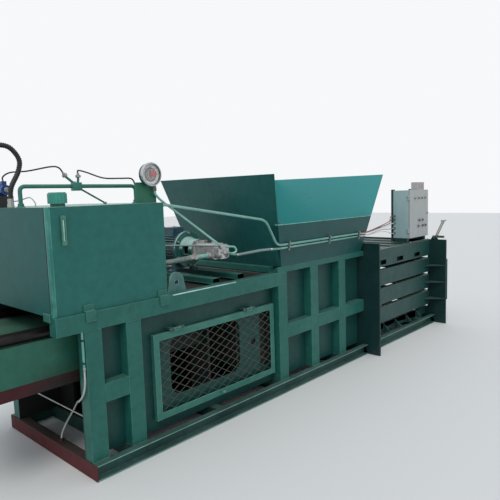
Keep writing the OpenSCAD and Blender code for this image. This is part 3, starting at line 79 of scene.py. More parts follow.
bpy.context.scene.collection.objects.link(viewpoint)
bpy.context.scene.camera = viewpoint
bpy.context.scene.view_settings.view_transform = "Standard"

sky = bpy.data.worlds.new("overcast")
sky.use_nodes = True
sky_nodes, sky_links = sky.node_tree.nodes, sky.node_tree.links
seen, lit = sky_nodes["Background"], sky_nodes.new("ShaderNodeBackground")
seen.inputs[0].default_value, seen.inputs[1].default_value = (0.93, 0.94, 0.96, 1), 1.0
lit.inputs[0].default_value, lit.inputs[1].default_value = (0.86, 0.93, 1.0, 1), 0.72
path = sky_nodes.new("ShaderNodeLightPath")
choose = sky_nodes.new("ShaderNodeMixShader")
share = path.outputs["Is Camera Ray"]
for ray in ("Is Glossy Ray", "Is Transmission Ray"):
    either = sky_nodes.new("ShaderNodeMath")
    either.operation = "MAXIMUM"
    sky_links.new(share, either.inputs[0])
    sky_links.new(path.outputs[ray], either.inputs[1])
    share = either.outputs[0]
sky_links.new(share, choose.inputs[0])
sky_links.new(lit.outputs[0], choose.inputs[1])
sky_links.new(seen.outputs[0], choose.inputs[2])
sky_links.new(choose.outputs[0], sky_nodes["World Output"].inputs[0])
bpy.context.scene.world = sky

lamp = bpy.data.lights.new("high_soft_lamp", "SUN")
lamp.energy, lamp.angle, lamp.color = 1.15, math.radians(28), (1.0, 0.985, 0.96)
high = bpy.data.objects.new("high_soft_lamp", lamp)
high.rotation_euler = (math.radians(34), math.radians(-14), math.radians(-28))
bpy.context.scene.collection.objects.link(high)

bpy.ops.mesh.primitive_plane_add(size=60, location=(0, 0, -0.002))
floor = bpy.context.object
floor.name = "studio_floor"
floor_paint = bpy.data.materials.new("pale_floor")
floor_paint.use_nodes = True
floor_paint.node_tree.nodes["Principled BSDF"].inputs["Base Color"].default_value = (0.72, 0.72, 0.71, 1)
floor_paint.node_tree.nodes["Principled BSDF"].inputs["Roughness"].default_value = 0.9
floor.data.materials.append(floor_paint)
bpy.ops.object.select_all(action="DESELECT")


# ---------------------------------------------------------------- Rear cable
# A pale grey sheathed cable leaves the lower end of the conduit on the first upright, bends
# inwards under its own weight and goes down into the gland on the rear end beam.
def along(points, steps=4):
    """Smooth line through given points of the machine."""
    points = [at(*p) for p in points]
    line = []
    for i in range(len(points) - 1):
        a, b = points[max(i - 1, 0)], points[i]
        c, d = points[i + 1], points[min(i + 2, len(points) - 1)]
        for j in range(steps):
            t = j / steps
            line.append(
                0.5 * (2 * b + (c - a) * t + (2 * a - 5 * b + 4 * c - d) * t * t + (3 * b - a - 3 * c + d) * t**3)
            )
    return [*line, points[-1]]


def round_line(name, line, radius, finish, segments=4):
    """Round curve of one open spline that follows the line."""
    shape = bpy.data.curves.new(name, "CURVE")
    shape.dimensions = "3D"
    shape.bevel_depth, shape.bevel_resolution, shape.use_fill_caps = radius, segments, True
    spline = shape.splines.new("POLY")
    spline.points.add(len(line) - 1)
    for point, place in zip(spline.points, line):
        point.co = (*place, 1)
    piece = bpy.data.objects.new(name, shape)
    piece.data.materials.append(finish)
    bpy.context.scene.collection.objects.link(piece)
    return piece


class Mix:
    """Short way to write one material's nodes."""

    def __init__(self, name, rough=0.5, metal=0.0, base=None):
        self.material = base.copy() if base else bpy.data.materials.new(name)
        self.material.name = name
        self.material.use_nodes = True
        self.tree = self.material.node_tree
        self.shader = self.tree.nodes["Principled BSDF"]
        if base is None:
            self.shader.inputs["Roughness"].default_value = rough
            self.shader.inputs["Metallic"].default_value = metal
        self.place = self.tree.nodes.new("ShaderNodeTexCoord").outputs["Object"]

    def link(self, a, b):
        self.tree.links.new(a, b)

    def noise(self, scale, detail=4, rough=0.55, stretch=None, distortion=0.0):
        node = self.tree.nodes.new("ShaderNodeTexNoise")
        node.inputs["Scale"].default_value = scale
        node.inputs["Detail"].default_value = detail
        node.inputs["Roughness"].default_value = rough
        node.inputs["Distortion"].default_value = distortion
        self.link(self.stretched(stretch), node.inputs["Vector"])
        return node.outputs["Fac"]

    def stretched(self, stretch):
        if stretch is None:
            return self.place
        node = self.tree.nodes.new("ShaderNodeMapping")
        node.inputs["Scale"].default_value = stretch
        self.link(self.place, node.inputs["Vector"])
        return node.outputs[0]

    def between(self, value, low, high, to_low=0.0, to_high=1.0):
        node = self.tree.nodes.new("ShaderNodeMapRange")
        for k, v in (("From Min", low), ("From Max", high), ("To Min", to_low), ("To Max", to_high)):
            node.inputs[k].default_value = v
        self.link(value, node.inputs["Value"])
        return node.outputs["Result"]

    def sum(self, a, b, kind="MULTIPLY"):
        node = self.tree.nodes.new("ShaderNodeMath")
        node.operation = kind
        for k, v in enumerate((a, b)):
            if isinstance(v, float):
                node.inputs[k].default_value = v
            else:
                self.link(v, node.inputs[k])
        return node.outputs[0]

    def blend(self, share, a, b):
        node = self.tree.nodes.new("ShaderNodeMix")
        node.data_type = "RGBA"
        self.link(share, node.inputs["Factor"])
        for socket, v in (("A", a), ("B", b)):
            target = next(s for s in node.inputs if s.name == socket and s.type == "RGBA")
            if isinstance(v, tuple):
                target.default_value = paint(v)
            else:
                self.link(v, target)
        return next(s for s in node.outputs if s.type == "RGBA")

    def parts(self, vector):
        """The three parts of a vector."""
        node = self.tree.nodes.new("ShaderNodeSeparateXYZ")
        self.link(vector, node.inputs[0])
        return node.outputs

    def facing(self, low, high):
        """How far the surface looks upwards."""
        shape = self.tree.nodes.new("ShaderNodeNewGeometry")
        return self.between(self.parts(shape.outputs["Normal"])["Z"], low, high)

    def edge(self, width, low=0.02, high=0.22):
        """Share that is 1 on sharp edges and 0 on flats."""
        soft = self.tree.nodes.new("ShaderNodeBevel")
        soft.samples = 4
        soft.inputs["Radius"].default_value = width
        shape = self.tree.nodes.new("ShaderNodeNewGeometry")
        dot = self.tree.nodes.new("ShaderNodeVectorMath")
        dot.operation = "DOT_PRODUCT"
        self.link(soft.outputs[0], dot.inputs[0])
        self.link(shape.outputs["Normal"], dot.inputs[1])
        away = self.sum(1.0, dot.outputs["Value"], "SUBTRACT")
        return self.between(away, low, high)

    def bump(self, height, strength, distance):
        node = self.tree.nodes.new("ShaderNodeBump")
        node.inputs["Strength"].default_value = strength
        node.inputs["Distance"].default_value = distance
        self.link(height, node.inputs["Height"])
        if self.shader.inputs["Normal"].links:
            self.link(self.shader.inputs["Normal"].links[0].from_socket, node.inputs["Normal"])
        self.link(node.outputs[0], self.shader.inputs["Normal"])

    def colour(self, value):
        self.link(value, self.shader.inputs["Base Color"])

    def gloss(self, value):
        self.link(value, self.shader.inputs["Roughness"])


def paint(colour):
    """Display colour, 0 to 255 a channel, as the light that it stands for."""
    return (*((c / 255 / 12.92) if c < 11 else ((c / 255 + 0.055) / 1.055) ** 2.4 for c in colour), 1)


def sheath(name, colour, dust=(120, 118, 110), rough=0.5):
    """Plastic or rubber sheath with rubbed spots and dust on top."""
    m = Mix(name)
    spots = m.between(m.noise(38, 5, 0.6), 0.45, 0.8)
    base = m.blend(m.sum(spots, 0.35), colour, tuple(min(255, c + 30) for c in colour))
    dusty = m.sum(m.facing(0.2, 1.0), m.between(m.noise(9, 4), 0.35, 0.75, 0.1, 0.55))
    m.colour(m.blend(dusty, base, dust))
    m.gloss(m.between(spots, 0, 1, rough - 0.08, rough + 0.2))
    m.bump(m.noise(420, 2), 0.15, 0.0006)
    return m.material


cable_route = [
    (-10.5, -548, 689.7), (-10.5, -548, 652), (-11, -546, 612), (-12, -538, 574), (-13, -522, 538),
    (-13, -496, 506), (-10, -462, 480), (4, -422, 460), (26, -380, 444), (48, -336, 428),
    (68, -292, 408), (82, -250, 380), (88, -214, 346), (86, -182, 306), (76, -154, 264),
    (62, -132, 222), (46, -118, 182), (35, -111, 148), (30, -110, 119.2),
]
cable_line = along(cable_route)
rear_cable = round_line("rear_cable_sheath", cable_line, 0.006, sheath("pale_sheath", (172, 176, 172)))
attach(rear_cable, "machine")
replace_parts(rear_cable, "rear_cable")


# ---------------------------------------------------------------- Base rails and end channel
# Two long channel rails with channels across between them carry the whole machine. They are brushed with a dark
# green enamel that is scuffed and dusty down at the floor and rubbed along their outer edges, and their outer
# faces and edges carry a painted highlight. The channel across the rear end has only its red primer, with painted
# shade on its top faces.
def soften(name, width, clean=True):
    """Rounds the sharp edges of a plate or tube the way that rolling, cutting and paint leave them."""
    piece = nodes[name]
    weld = piece.modifiers.new("joined", "WELD")
    weld.merge_threshold = 0.00001
    if clean:
        flat = piece.modifiers.new("plain_faces", "DECIMATE")
        flat.decimate_type, flat.angle_limit = "DISSOLVE", math.radians(1.0)
    edge = piece.modifiers.new("rounded_edges", "BEVEL")
    edge.width, edge.segments, edge.limit_method = width, 2, "ANGLE"
    edge.angle_limit, edge.harden_normals = math.radians(38), False
    edge.use_clamp_overlap = True
    piece.modifiers.new("even_shading", "WEIGHTED_NORMAL").keep_sharp = True


def enamel(name, colour, wear=0.5, dust=0.4, streak=0.5, chips=0.4, worn=None, rough=0.42, painted_top_light=None):
    """Brushed or sprayed gloss enamel on steel: uneven tone, runs, dust, chipped edges, rubbed edges that also
    serve as painted edge highlights, and a painted tone of light or shade on the faces that look up.
    """
    m = Mix(name)
    lighter = worn or tuple(min(255, round(c * 0.88 + 26)) for c in colour)
    deeper = tuple(round(c * 0.70) for c in colour)
    m.shader.inputs["Specular IOR Level"].default_value = 0.35
    cloud = m.between(m.noise(1.7, 5, 0.6, distortion=0.6), 0.32, 0.7)
    tone = m.blend(m.sum(cloud, 0.42), colour, lighter)
    mottle = m.between(m.noise(19, 4, 0.62), 0.38, 0.66)
    tone = m.blend(m.sum(mottle, 0.3), tone, deeper)
    runs = m.between(m.noise(1, 6, 0.65, (16, 16, 1.3)), 0.5, 0.78)
    upright = m.sum(1.0, m.facing(0.15, 0.6), "SUBTRACT")
    tone = m.blend(m.sum(m.sum(runs, upright), 0.55 * streak), tone, deeper)
    pale_runs = m.between(m.noise(1.37, 6, 0.7, (31, 27, 0.9)), 0.58, 0.8)
    tone = m.blend(m.sum(m.sum(pale_runs, upright), 0.5 * streak), tone, lighter)
    scratch = m.between(m.noise(1, 3, 0.5, (5, 5, 230), 0.8), 0.66, 0.71)
    broken = m.between(m.noise(2.6, 3, 0.5), 0.5, 0.62)
    tone = m.blend(m.sum(m.sum(scratch, broken), 0.5 * wear), tone, lighter)
    # Rubbed edges are lightened; these light edges also serve as painted edge highlights.
    rim = m.sum(m.edge(0.007), m.between(m.noise(11, 6, 0.7), 0.36, 0.6))
    tone = m.blend(m.sum(rim, 0.85 * wear), tone, tuple(min(255, c + 44) for c in lighter))
    spots = m.between(m.noise(34, 6, 0.72), 0.66, 0.7)
    spots = m.sum(spots, m.between(m.noise(3.1, 2), 0.46, 0.62))
    tone = m.blend(m.sum(spots, chips), tone, (74, 66, 54))
    # Painted light: faces that look upwards take the given tone, lighter as painted sky light, darker as painted
    # shade.
    if painted_top_light:
        tone = m.blend(m.sum(m.facing(0.06, 0.2), 0.8), tone, painted_top_light)
    settled = m.sum(m.facing(0.45, 0.98), m.between(m.noise(6, 6, 0.68), 0.3, 0.72, 0.25, 1.0))
    tone = m.blend(m.sum(settled, dust), tone, (148, 150, 138))
    m.colour(tone)
    shine = m.between(m.noise(7, 4, 0.6), 0.3, 0.75, rough - 0.07, rough + 0.13)
    m.gloss(m.sum(shine, m.sum(settled, 0.3 * dust), "ADD"))
    m.bump(m.noise(2.4, 2), 0.28, 0.012)
    m.bump(m.noise(260, 2), 0.10, 0.0008)
    m.bump(spots, -0.25 * chips, 0.0008)
    return m.material


def coat(finish, *names):
    for name in names:
        nodes[name].material_slots[0].material = finish


def dress(finish, *names, width=0.0025, clean=True):
    for name in names:
        soften(name, width, clean)
    coat(finish, *names)


# The light worn edge colour also stands for painted edge highlights on the rails.
rail_enamel = enamel("rail_enamel", (18, 60, 56), wear=1.0, dust=0.22, streak=0.4, chips=0.4,
                     worn=(84, 128, 120))
dress(rail_enamel, "base_frame", width=0.004)
# Painted shade: the red primer's up-facing faces are dark.
red_primer = enamel("red_primer", (74, 18, 24), wear=0.6, dust=0.1, chips=0.6, worn=(104, 46, 46),
                    rough=0.66, painted_top_light=(40, 40, 36))
dress(red_primer, "rear_end_beam", width=0.003)


ANYWHERE = (None, None, None)


def repainted(finish, name, colour, low=ANYWHERE, high=ANYWHERE, rough=0.7, soft=0.001, spread=1.0):
    """Copy of a finish that another coat covers between two corners, such as soot, oil or primer."""
    m = Mix(name, base=finish)
    place, share = m.parts(m.place), None
    for axis in range(3):
        for edge, sign in ((low[axis], 1), (high[axis], -1)):
            if edge is not None:
                side = m.between(place[axis], edge - soft * sign, edge + soft * sign)
                share = side if share is None else m.sum(share, side)
    darker = tuple(round(c * (1 - 0.45 * spread)) for c in colour)
    lighter = tuple(min(255, round(c * (1 + 0.4 * spread))) for c in colour)
    layer = m.blend(m.noise(12, 5, 0.5), darker, lighter)
    m.colour(m.blend(share, m.shader.inputs["Base Color"].links[0].from_socket, layer))
    dull = m.tree.nodes.new("ShaderNodeMix")
    m.link(share, dull.inputs["Factor"])
    m.link(m.shader.inputs["Roughness"].links[0].from_socket, dull.inputs[2])
    dull.inputs[3].default_value = rough
    m.gloss(dull.outputs[0])
    return m.material


# Painted highlight with rubbed wear: the rails' outer faces are painted a light green.
rail_edge = 0.6082
rail_lit_and_rubbed = dict(colour=(92, 140, 130), rough=0.4)
lit_rubbed_rail = repainted(rail_enamel, "rail_enamel_lit_rubbed_near", high=(None, -rail_edge, None), **rail_lit_and_rubbed)
lit_rubbed_rail = repainted(lit_rubbed_rail, "rail_enamel_lit_rubbed_far", low=(None, rail_edge, None), **rail_lit_and_rubbed)
coat(lit_rubbed_rail, "base_frame")


# ---------------------------------------------------------------- Uprights, rails and side plates
# Folded channel uprights and the rails between them stiffen the two thick side plates of the press, and all are
# welded up and sprayed in one teal green enamel. The plates are painted near black inside the chamber, for soot
# and oil and as the shade in there, and the top rail's edge beside the motor is rubbed and carries a painted
# highlight. The lifting lugs' pale edges are painted highlights as well as wear.
frame_enamel = enamel("frame_enamel", (26, 94, 84), wear=0.95, dust=0.18, streak=0.5, chips=0.3,
                      worn=(58, 118, 108))
dress(frame_enamel, "side_frame_near", "side_frame_far", "press_top_frame", "motor_rails", width=0.003)
# Painted highlight: the lugs' worn edges are pale, also standing for the light that shows through their holes.
lug_enamel_lit_edges = enamel("lug_enamel_lit_edges", (46, 96, 92), wear=1.0, dust=0.2, streak=0.3, chips=0.4, worn=(150, 184, 176))
dress(lug_enamel_lit_edges, "lifting_lugs", width=0.003)
plate_enamel = enamel("plate_enamel", (14, 66, 62), wear=0.4, dust=0.12, streak=0.7, chips=0.4,
                      worn=(34, 86, 80))
dress(plate_enamel, "side_plate_near", "side_plate_far", width=0.0015)
# Painted shade with soot and oil: inside the chamber the side plates are near black.
chamber_near, chamber_far = (None, -0.4693, None), (None, 0.4693, None)
coat(repainted(plate_enamel, "plate_enamel_soot_and_painted_shade_inside", (22, 24, 22), chamber_near, chamber_far),
     "side_plate_near", "side_plate_far")
# Painted highlight with rubbed wear along the near top rail's upper edge.
coat(repainted(frame_enamel, "frame_enamel_lit_rubbed_rail", (150, 190, 180), (first_post + 0.68, None, 1.0345),
               (first_post + 1.30, -0.546, None), rough=0.35), "side_frame_near")


# ---------------------------------------------------------------- Tunnel, hoop and end plate
# Square bars with slots between them for the strapping form the tunnel. A thick hoop plate at
# its mouth and the end plate hold them. The paint is darker here and rubbed by the bales.
tunnel_enamel = enamel("tunnel_enamel", (26, 68, 64), wear=0.6, dust=0.35, streak=0.4, chips=0.5)
dress(tunnel_enamel, "tunnel_bars_near", "tunnel_bars_far", "tunnel_roof", width=0.003)
hoop_enamel = enamel("hoop_enamel", (11, 46, 46), wear=0.45, dust=0.25, streak=0.5, chips=0.4)
dress(hoop_enamel, "hoop_plate", "end_plate", width=0.003)
dress(hoop_enamel, "bale_door", width=0.002)


# ---------------------------------------------------------------- Beams behind the press
# The cylinder lies between two boxed beams that cradle plates, a cover plate and a thick cross plate join. They
# are enamelled, and along the foot of each beam the red primer shows, which a painted shadow darkens towards the
# press. Inside the press the beams are painted near black, for oil and as the shade in there.
beam_enamel = enamel("beam_enamel", (34, 94, 76), wear=0.4, dust=0.2, streak=0.4, chips=0.4)
dress(beam_enamel, "rear_beams", "rear_cross_plate", width=0.002)
strip_top = (None, None, 0.662)
primer_strip = repainted(beam_enamel, "beam_enamel_over_primer", (52, 12, 20), high=strip_top)
# Painted shadow: the primer strip fades to dark towards the press.
strip_painted_shadow = repainted(primer_strip, "primer_painted_shadow", (20, 27, 23),
                         (first_post - 0.26, None, None), strip_top, soft=0.11)
# Painted shade with oil: inside the press the beams are near black.
coat(repainted(strip_painted_shadow, "beam_enamel_oil_and_painted_shade_inside", (20, 21, 20), (first_post + 0.30, None, None),
               (None, None, 0.8875)), "rear_beams")


# ---------------------------------------------------------------- Bare steel parts
# The tie bars, the rod, the thin bar and the blades are left unpainted. They are oiled mill steel, dark on the
# ties and bright where they slide. The ram, the floor and the barrel are painted, and waste and oil have worn and
# darkened them; the ram's dark oily paint also stands for the shade inside the chamber, painted in.
def bare_steel(name, colour, rust=0.3, rough=0.38, grain=(2, 60, 60)):
    """Unpainted steel with fine drawn lines, oil stains and a little brown rust."""
    m = Mix(name, metal=1.0)
    lines = m.between(m.noise(6, 4, 0.6, grain), 0.3, 0.7)
    stain = m.between(m.noise(5, 5, 0.65), 0.42, 0.7)
    tone = m.blend(m.sum(lines, 0.4), colour, tuple(min(255, c + 34) for c in colour))
    tone = m.blend(m.sum(stain, 0.45), tone, tuple(round(c * 0.62) for c in colour))
    brown = m.sum(m.between(m.noise(9, 6, 0.7), 0.52, 0.68), rust)
    m.colour(m.blend(brown, tone, (104, 72, 52)))
    m.gloss(m.sum(m.between(stain, 0, 1, rough, rough + 0.22), m.sum(brown, 0.3), "ADD"))
    m.link(m.sum(0.92, m.sum(brown, 0.8), "SUBTRACT"), m.shader.inputs["Metallic"])
    m.bump(lines, 0.12, 0.0006)
    return m.material


dress(bare_steel("dark_tie_steel", (40, 37, 38), rust=0.12, rough=0.3), "tie_bars", width=0.0015)
dress(bare_steel("sliding_steel", (150, 150, 146), rust=0.3, rough=0.32), "fixed_blade", "ram_blade", width=0.0015)
dress(repainted(rail_enamel, "floor_worn_by_waste", (32, 29, 26), chamber_near, chamber_far, rough=0.45),
      "press_floor", width=0.0015)
# Painted shade with oil: the ram's near black paint.
dress(enamel("ram_oil_and_painted_shade", (24, 27, 27), wear=0.9, dust=0.04, chips=0.8, worn=(70, 62, 56), rough=0.5),
      "ram", width=0.0015)
dress(bare_steel("chromed_rod", (196, 198, 200), rust=0.0, rough=0.16), "piston_rod", width=0.001)
dress(bare_steel("thin_bar_steel", (168, 172, 170), rust=0.1), "rear_bar", width=0.001)
dress(enamel("barrel_enamel", (20, 48, 46), wear=0.3, dust=0.5, chips=0.2), "cylinder_barrel", width=0.002)


# ---------------------------------------------------------------- Feed hopper
# Four sheets rise from the top of the press and lean outwards, and the near one is cut down to a loading edge. The
# enamel is painted pale as sky light where it looks to the sky, painted darker as shade on the low near sheet, and
# a painted highlight makes a light line along the loading edge.
hopper_enamel = enamel("hopper_enamel", (27, 92, 88), wear=0.75, dust=0.1, streak=0.9, chips=0.15, rough=0.34,
                       painted_top_light=(72, 164, 164))
dress(hopper_enamel, "hopper", width=0.0025)
loading_edge = 1.4475
# Painted shade on the near sheet, which leans out and looks down.
hopper_painted_shade = repainted(hopper_enamel, "hopper_enamel_near_wall_painted_shade", (20, 74, 72), high=(None, -0.56, loading_edge),
                          rough=0.42, soft=0.004, spread=0.35)
# Painted highlight: a light line along the loading edge.
coat(repainted(hopper_painted_shade, "hopper_enamel_lip_highlight", (104, 158, 150), (None, None, loading_edge),
               (None, -0.60, loading_edge + 0.009), rough=0.35), "hopper")


# ---------------------------------------------------------------- Oil tank
# The tank is a welded box of thin sheet across the top of the frame, with its corners folded, and clips hold it on
# the rails. The enamel is glossier and cleaner than on the frame; its up-facing faces are painted lighter as sky
# light, and its rear face is painted darker as shade and is a little duller.
tank_enamel = enamel("tank_enamel", (24, 98, 90), wear=0.5, dust=0.1, streak=0.3, chips=0.1,
                     worn=(40, 110, 102), rough=0.4, painted_top_light=(150, 186, 178))
# Painted shade: the tank's rear face is darker.
dress(repainted(tank_enamel, "tank_enamel_rear_painted_shade", (18, 84, 80), high=(first_post - 0.170, None, None),
                rough=0.55, spread=0.3), "oil_tank", width=0.004)
dress(enamel("gauge_plate_enamel", (36, 104, 80), wear=0.6, dust=0.1, streak=0.4), "gauge_bracket", width=0.001)
dress(enamel("clip_enamel", (36, 100, 90), wear=0.7, dust=0.4), "tank_brackets", width=0.0015)


# ---------------------------------------------------------------- Electric motor and bell
# A foot-mounted finned motor stands on two cross tubes, with a pressed fan cowl, a terminal box
# on top and a cast bell that carries the pump. Iron castings, enamelled together.
def turned(name, centre, axis, steps, finish, sides, body="machine"):
    """Round piece built up along its axis, each step an extrusion of the end face and a new radius."""
    axis = Vector(axis).normalized()
    lean = axis.to_track_quat("Z", "Y").to_euler()
    first = steps[0][1]
    bpy.ops.mesh.primitive_circle_add(vertices=sides, radius=first, fill_type="NGON", location=centre,
                                      rotation=lean)
    piece = bpy.context.object
    piece.name = name
    bpy.ops.object.mode_set(mode="EDIT")
    bpy.ops.mesh.select_all(action="SELECT")
    middle, size = Vector(centre), first
    for rise, radius in steps:
        if rise:
            bpy.ops.mesh.extrude_region_move(TRANSFORM_OT_translate={"value": axis * rise})
            middle = middle + axis * rise
        elif radius != size:
            bpy.ops.mesh.extrude_region_move(TRANSFORM_OT_translate={"value": (0, 0, 0)})
        if radius != size:
            bpy.ops.transform.resize(value=(radius / size,) * 3, center_override=middle)
            size = radius
    bpy.ops.mesh.select_all(action="SELECT")
    bpy.ops.mesh.normals_make_consistent(inside=False)
    bpy.ops.object.mode_set(mode="OBJECT")
    return finished(piece, finish, body)


def finished(piece, finish, body="machine", smooth=35):
    """Puts the piece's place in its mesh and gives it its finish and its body."""
    bpy.ops.object.select_all(action="DESELECT")
    piece.select_set(True)
    bpy.context.view_layer.objects.active = piece
    bpy.ops.object.transform_apply(location=True, rotation=True, scale=True)
    bpy.ops.object.shade_smooth_by_angle(angle=math.radians(smooth))
    piece.data.materials.clear()
    piece.data.materials.append(finish)
    piece.select_set(False)
    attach(piece, body)
    return piece


def bevelled_cube(name, middle, size, edge, segments=2):
    """Cube of this size about its middle, its edges bevelled in edit mode."""
    bpy.ops.mesh.primitive_cube_add(size=1, location=middle)
    piece = bpy.context.object
    piece.name = name
    piece.scale = size
    bpy.ops.object.transform_apply(location=False, rotation=False, scale=True)
    bpy.ops.object.mode_set(mode="EDIT")
    bpy.ops.mesh.select_all(action="SELECT")
    bpy.ops.mesh.bevel(offset=edge, segments=segments, affect="EDGES")
    bpy.ops.object.mode_set(mode="OBJECT")
    return piece


def block(name, low, high, finish, edge):
    """Rectangular piece between two corners."""
    low, high = Vector(low), Vector(high)
    return finished(bevelled_cube(name, (low + high) / 2, high - low, edge), finish)


def piece_of(name, shape):
    """Turns a bmesh into a piece."""
    mesh = bpy.data.meshes.new(name)
    shape.to_mesh(mesh)
    shape.free()
    piece = bpy.data.objects.new(name, mesh)
    bpy.context.scene.collection.objects.link(piece)
    return piece


def copies(name, model, places, finish):
    """Joins one copy of a small piece's mesh at each place, and drops the model."""
    whole = bmesh.new()
    for place in places:
        whole.from_mesh(model.data)
        whole.verts.ensure_lookup_table()
        count = len(model.data.vertices)
        bmesh.ops.transform(whole, matrix=place, verts=whole.verts[-count:])
    bpy.data.objects.remove(model)
    return finished(piece_of(name, whole), finish)


def bolt_model(across, height, washer=0.0):
    """Hexagon head with a chamfered crown on a round washer, standing on the origin along +Z."""
    bpy.ops.mesh.primitive_cylinder_add(vertices=6, radius=across / 2 / math.cos(math.pi / 6), depth=height,
                                        location=(0, 0, height / 2 + washer))
    head = bpy.context.object
    bpy.ops.object.mode_set(mode="EDIT")
    shape = bmesh.from_edit_mesh(head.data)
    for face in shape.faces:
        face.select = face.normal.z > 0.9
    bmesh.update_edit_mesh(head.data)
    bpy.ops.mesh.inset(thickness=across * 0.06)
    bpy.ops.transform.translate(value=(0, 0, across * 0.04))
    bpy.ops.object.mode_set(mode="OBJECT")
    bpy.ops.object.transform_apply(location=True, rotation=True, scale=True)
    if washer:
        bpy.ops.mesh.primitive_cylinder_add(vertices=24, radius=across * 0.95, depth=washer,
                                            location=(0, 0, washer / 2))
        ring = bpy.context.object
        bpy.ops.object.transform_apply(location=True, rotation=True, scale=True)
        head.select_set(True)
        ring.select_set(True)
        bpy.context.view_layer.objects.active = head
        bpy.ops.object.join()
        head = bpy.context.object
    head.select_set(False)
    return head


zinc = bare_steel("zinc_plate", (150, 152, 150), rust=0.08, rough=0.34, grain=(40, 40, 40))
UP, NEAR, FRONT = (0, 0, 1), (0, -1, 0), (1, 0, 0)


def bolts(name, sizes, way, spots):
    """Zinc bolts of one size along one direction, each at its station and with its own turn."""
    lean = Vector(way).normalized().to_track_quat("Z", "Y").to_matrix().to_4x4()
    places = [Matrix.Translation(at(x, y, z)) @ lean @ Matrix.Rotation(turn, 4, "Z") for x, y, z, turn in spots]
    copies(name, bolt_model(*sizes), places, zinc)


motor_enamel = enamel("motor_enamel", (24, 62, 74), wear=1.0, dust=0.2, streak=0.3, chips=0.3,
                      worn=(96, 140, 148), rough=0.3)
coat(motor_enamel, "motor_housing")
# Painted highlight: the bell's up-facing faces are pale.
coat(enamel("bell_enamel", (28, 86, 78), wear=1.0, dust=0.1, streak=0.3, worn=(96, 150, 142), rough=0.24,
            painted_top_light=(176, 208, 202)), "bell_housing")
coat(bare_steel("shaft_steel", (120, 122, 120), rust=0.2), "motor_shaft")
shaft_x, shaft_z, bell_bolt_ring = 1300, 1270, 132
bolts("bell_bolts", (0.017, 0.009), NEAR, [
    (shaft_x + bell_bolt_ring * math.cos(a), -27, shaft_z + bell_bolt_ring * math.sin(a), a)
    for a in [math.radians(30 + 60 * k) for k in range(6)]])
bolts("motor_foot_bolts", (0.017, 0.010, 0.003), UP, [
    (x, y, 1096, 0.4 * k) for k, (x, y) in enumerate([(1165, 70), (1435, 70), (1165, 310), (1435, 310)])])
lid_z = 1449
block("terminal_box_lid", at(1237, 107, lid_z - 8), at(1363, 233, lid_z), motor_enamel, 0.003)
bolts("terminal_box_screws", (0.008, 0.004), UP, [(x, y, lid_z, 0.3) for x in (1248, 1352) for y in (118, 222)])


# ---------------------------------------------------------------- Gear pump
# A two-section pump of cast iron sprayed silver, with an end cover drawn up by four long bolts
# and an outlet flange. Oil has darkened its joints.
cast = Mix("silver_casting", 0.42, 0.55)
cast_grain = cast.between(cast.noise(90, 4, 0.7), 0.3, 0.7)
oil_stain = cast.between(cast.noise(26, 6, 0.75), 0.5, 0.62)
cast_tone = cast.blend(cast.sum(cast_grain, 0.8), (170, 165, 165), (228, 226, 224))
cast_tone = cast.blend(cast.sum(oil_stain, 0.55), cast_tone, (78, 74, 76))
# Painted highlight: the casting's edges are lightened.
cast.colour(cast.blend(cast.sum(cast.edge(0.004), 0.6), cast_tone, (222, 220, 216)))
cast.gloss(cast.between(oil_stain, 0, 1, 0.36, 0.62))
cast.bump(cast_grain, 0.35, 0.001)
coat(cast.material, "pump")
for name, sizes, reach, y in (("pump_cover_bolts", (0.016, 0.010, 0.002), 38, -437),
                              ("pump_flange_bolts", (0.015, 0.009, 0.002), 64, -166)):
    bolts(name, sizes, NEAR, [
        (shaft_x + reach * sx, y, shaft_z + reach * sz, 0.2 * k)
        for k, (sx, sz) in enumerate([(-1, -1), (1, -1), (-1, 1), (1, 1)])])


# ---------------------------------------------------------------- Hoses and steel pipes
# The suction hose has a woven steel braid and swaged ferrules, and the hose to the barrel has a
# black cover in a spiral guard. The steel pipes are bent, enamelled and held by union nuts.
def tube(name, line, radius, finish, rings=5, smooth=60, stands_for=None):
    """Hose, pipe or lead along a line, made a mesh whose UV map runs round it and along it."""
    piece = round_line(name, line, radius, finish, rings)
    bpy.ops.object.select_all(action="DESELECT")
    piece.select_set(True)
    bpy.context.view_layer.objects.active = piece
    bpy.ops.object.convert(target="MESH")
    piece = finished(bpy.context.object, finish, smooth=smooth)
    if stands_for:
        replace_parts(piece, stands_for)
    return piece


def around(line, radius, pitch, steps):
    """Helix that winds on the line."""
    winding, lengths = [], [0.0]
    walked, turn, i = 0.0, 0.0, 0
    side = (line[1] - line[0]).orthogonal().normalized()
    for a, b in zip(line, line[1:]):
        lengths.append(lengths[-1] + (b - a).length)
    while walked < lengths[-1]:
        while i < len(line) - 2 and lengths[i + 1] < walked:
            i += 1
        way = (line[i + 1] - line[i]).normalized()
        side = (side - way * side.dot(way)).normalized()
        centre = line[i] + way * (walked - lengths[i])
        winding.append(centre + Matrix.Rotation(turn, 3, way) @ side * radius)
        turn += 2 * math.pi / steps
        walked += pitch / steps
    return winding


def nut(small, large, depth, chamfer=0.002):
    """Steps of a nut or collar with the same chamfer at both ends."""
    return [(0, small), (chamfer, large), (depth, large), (chamfer, small)]


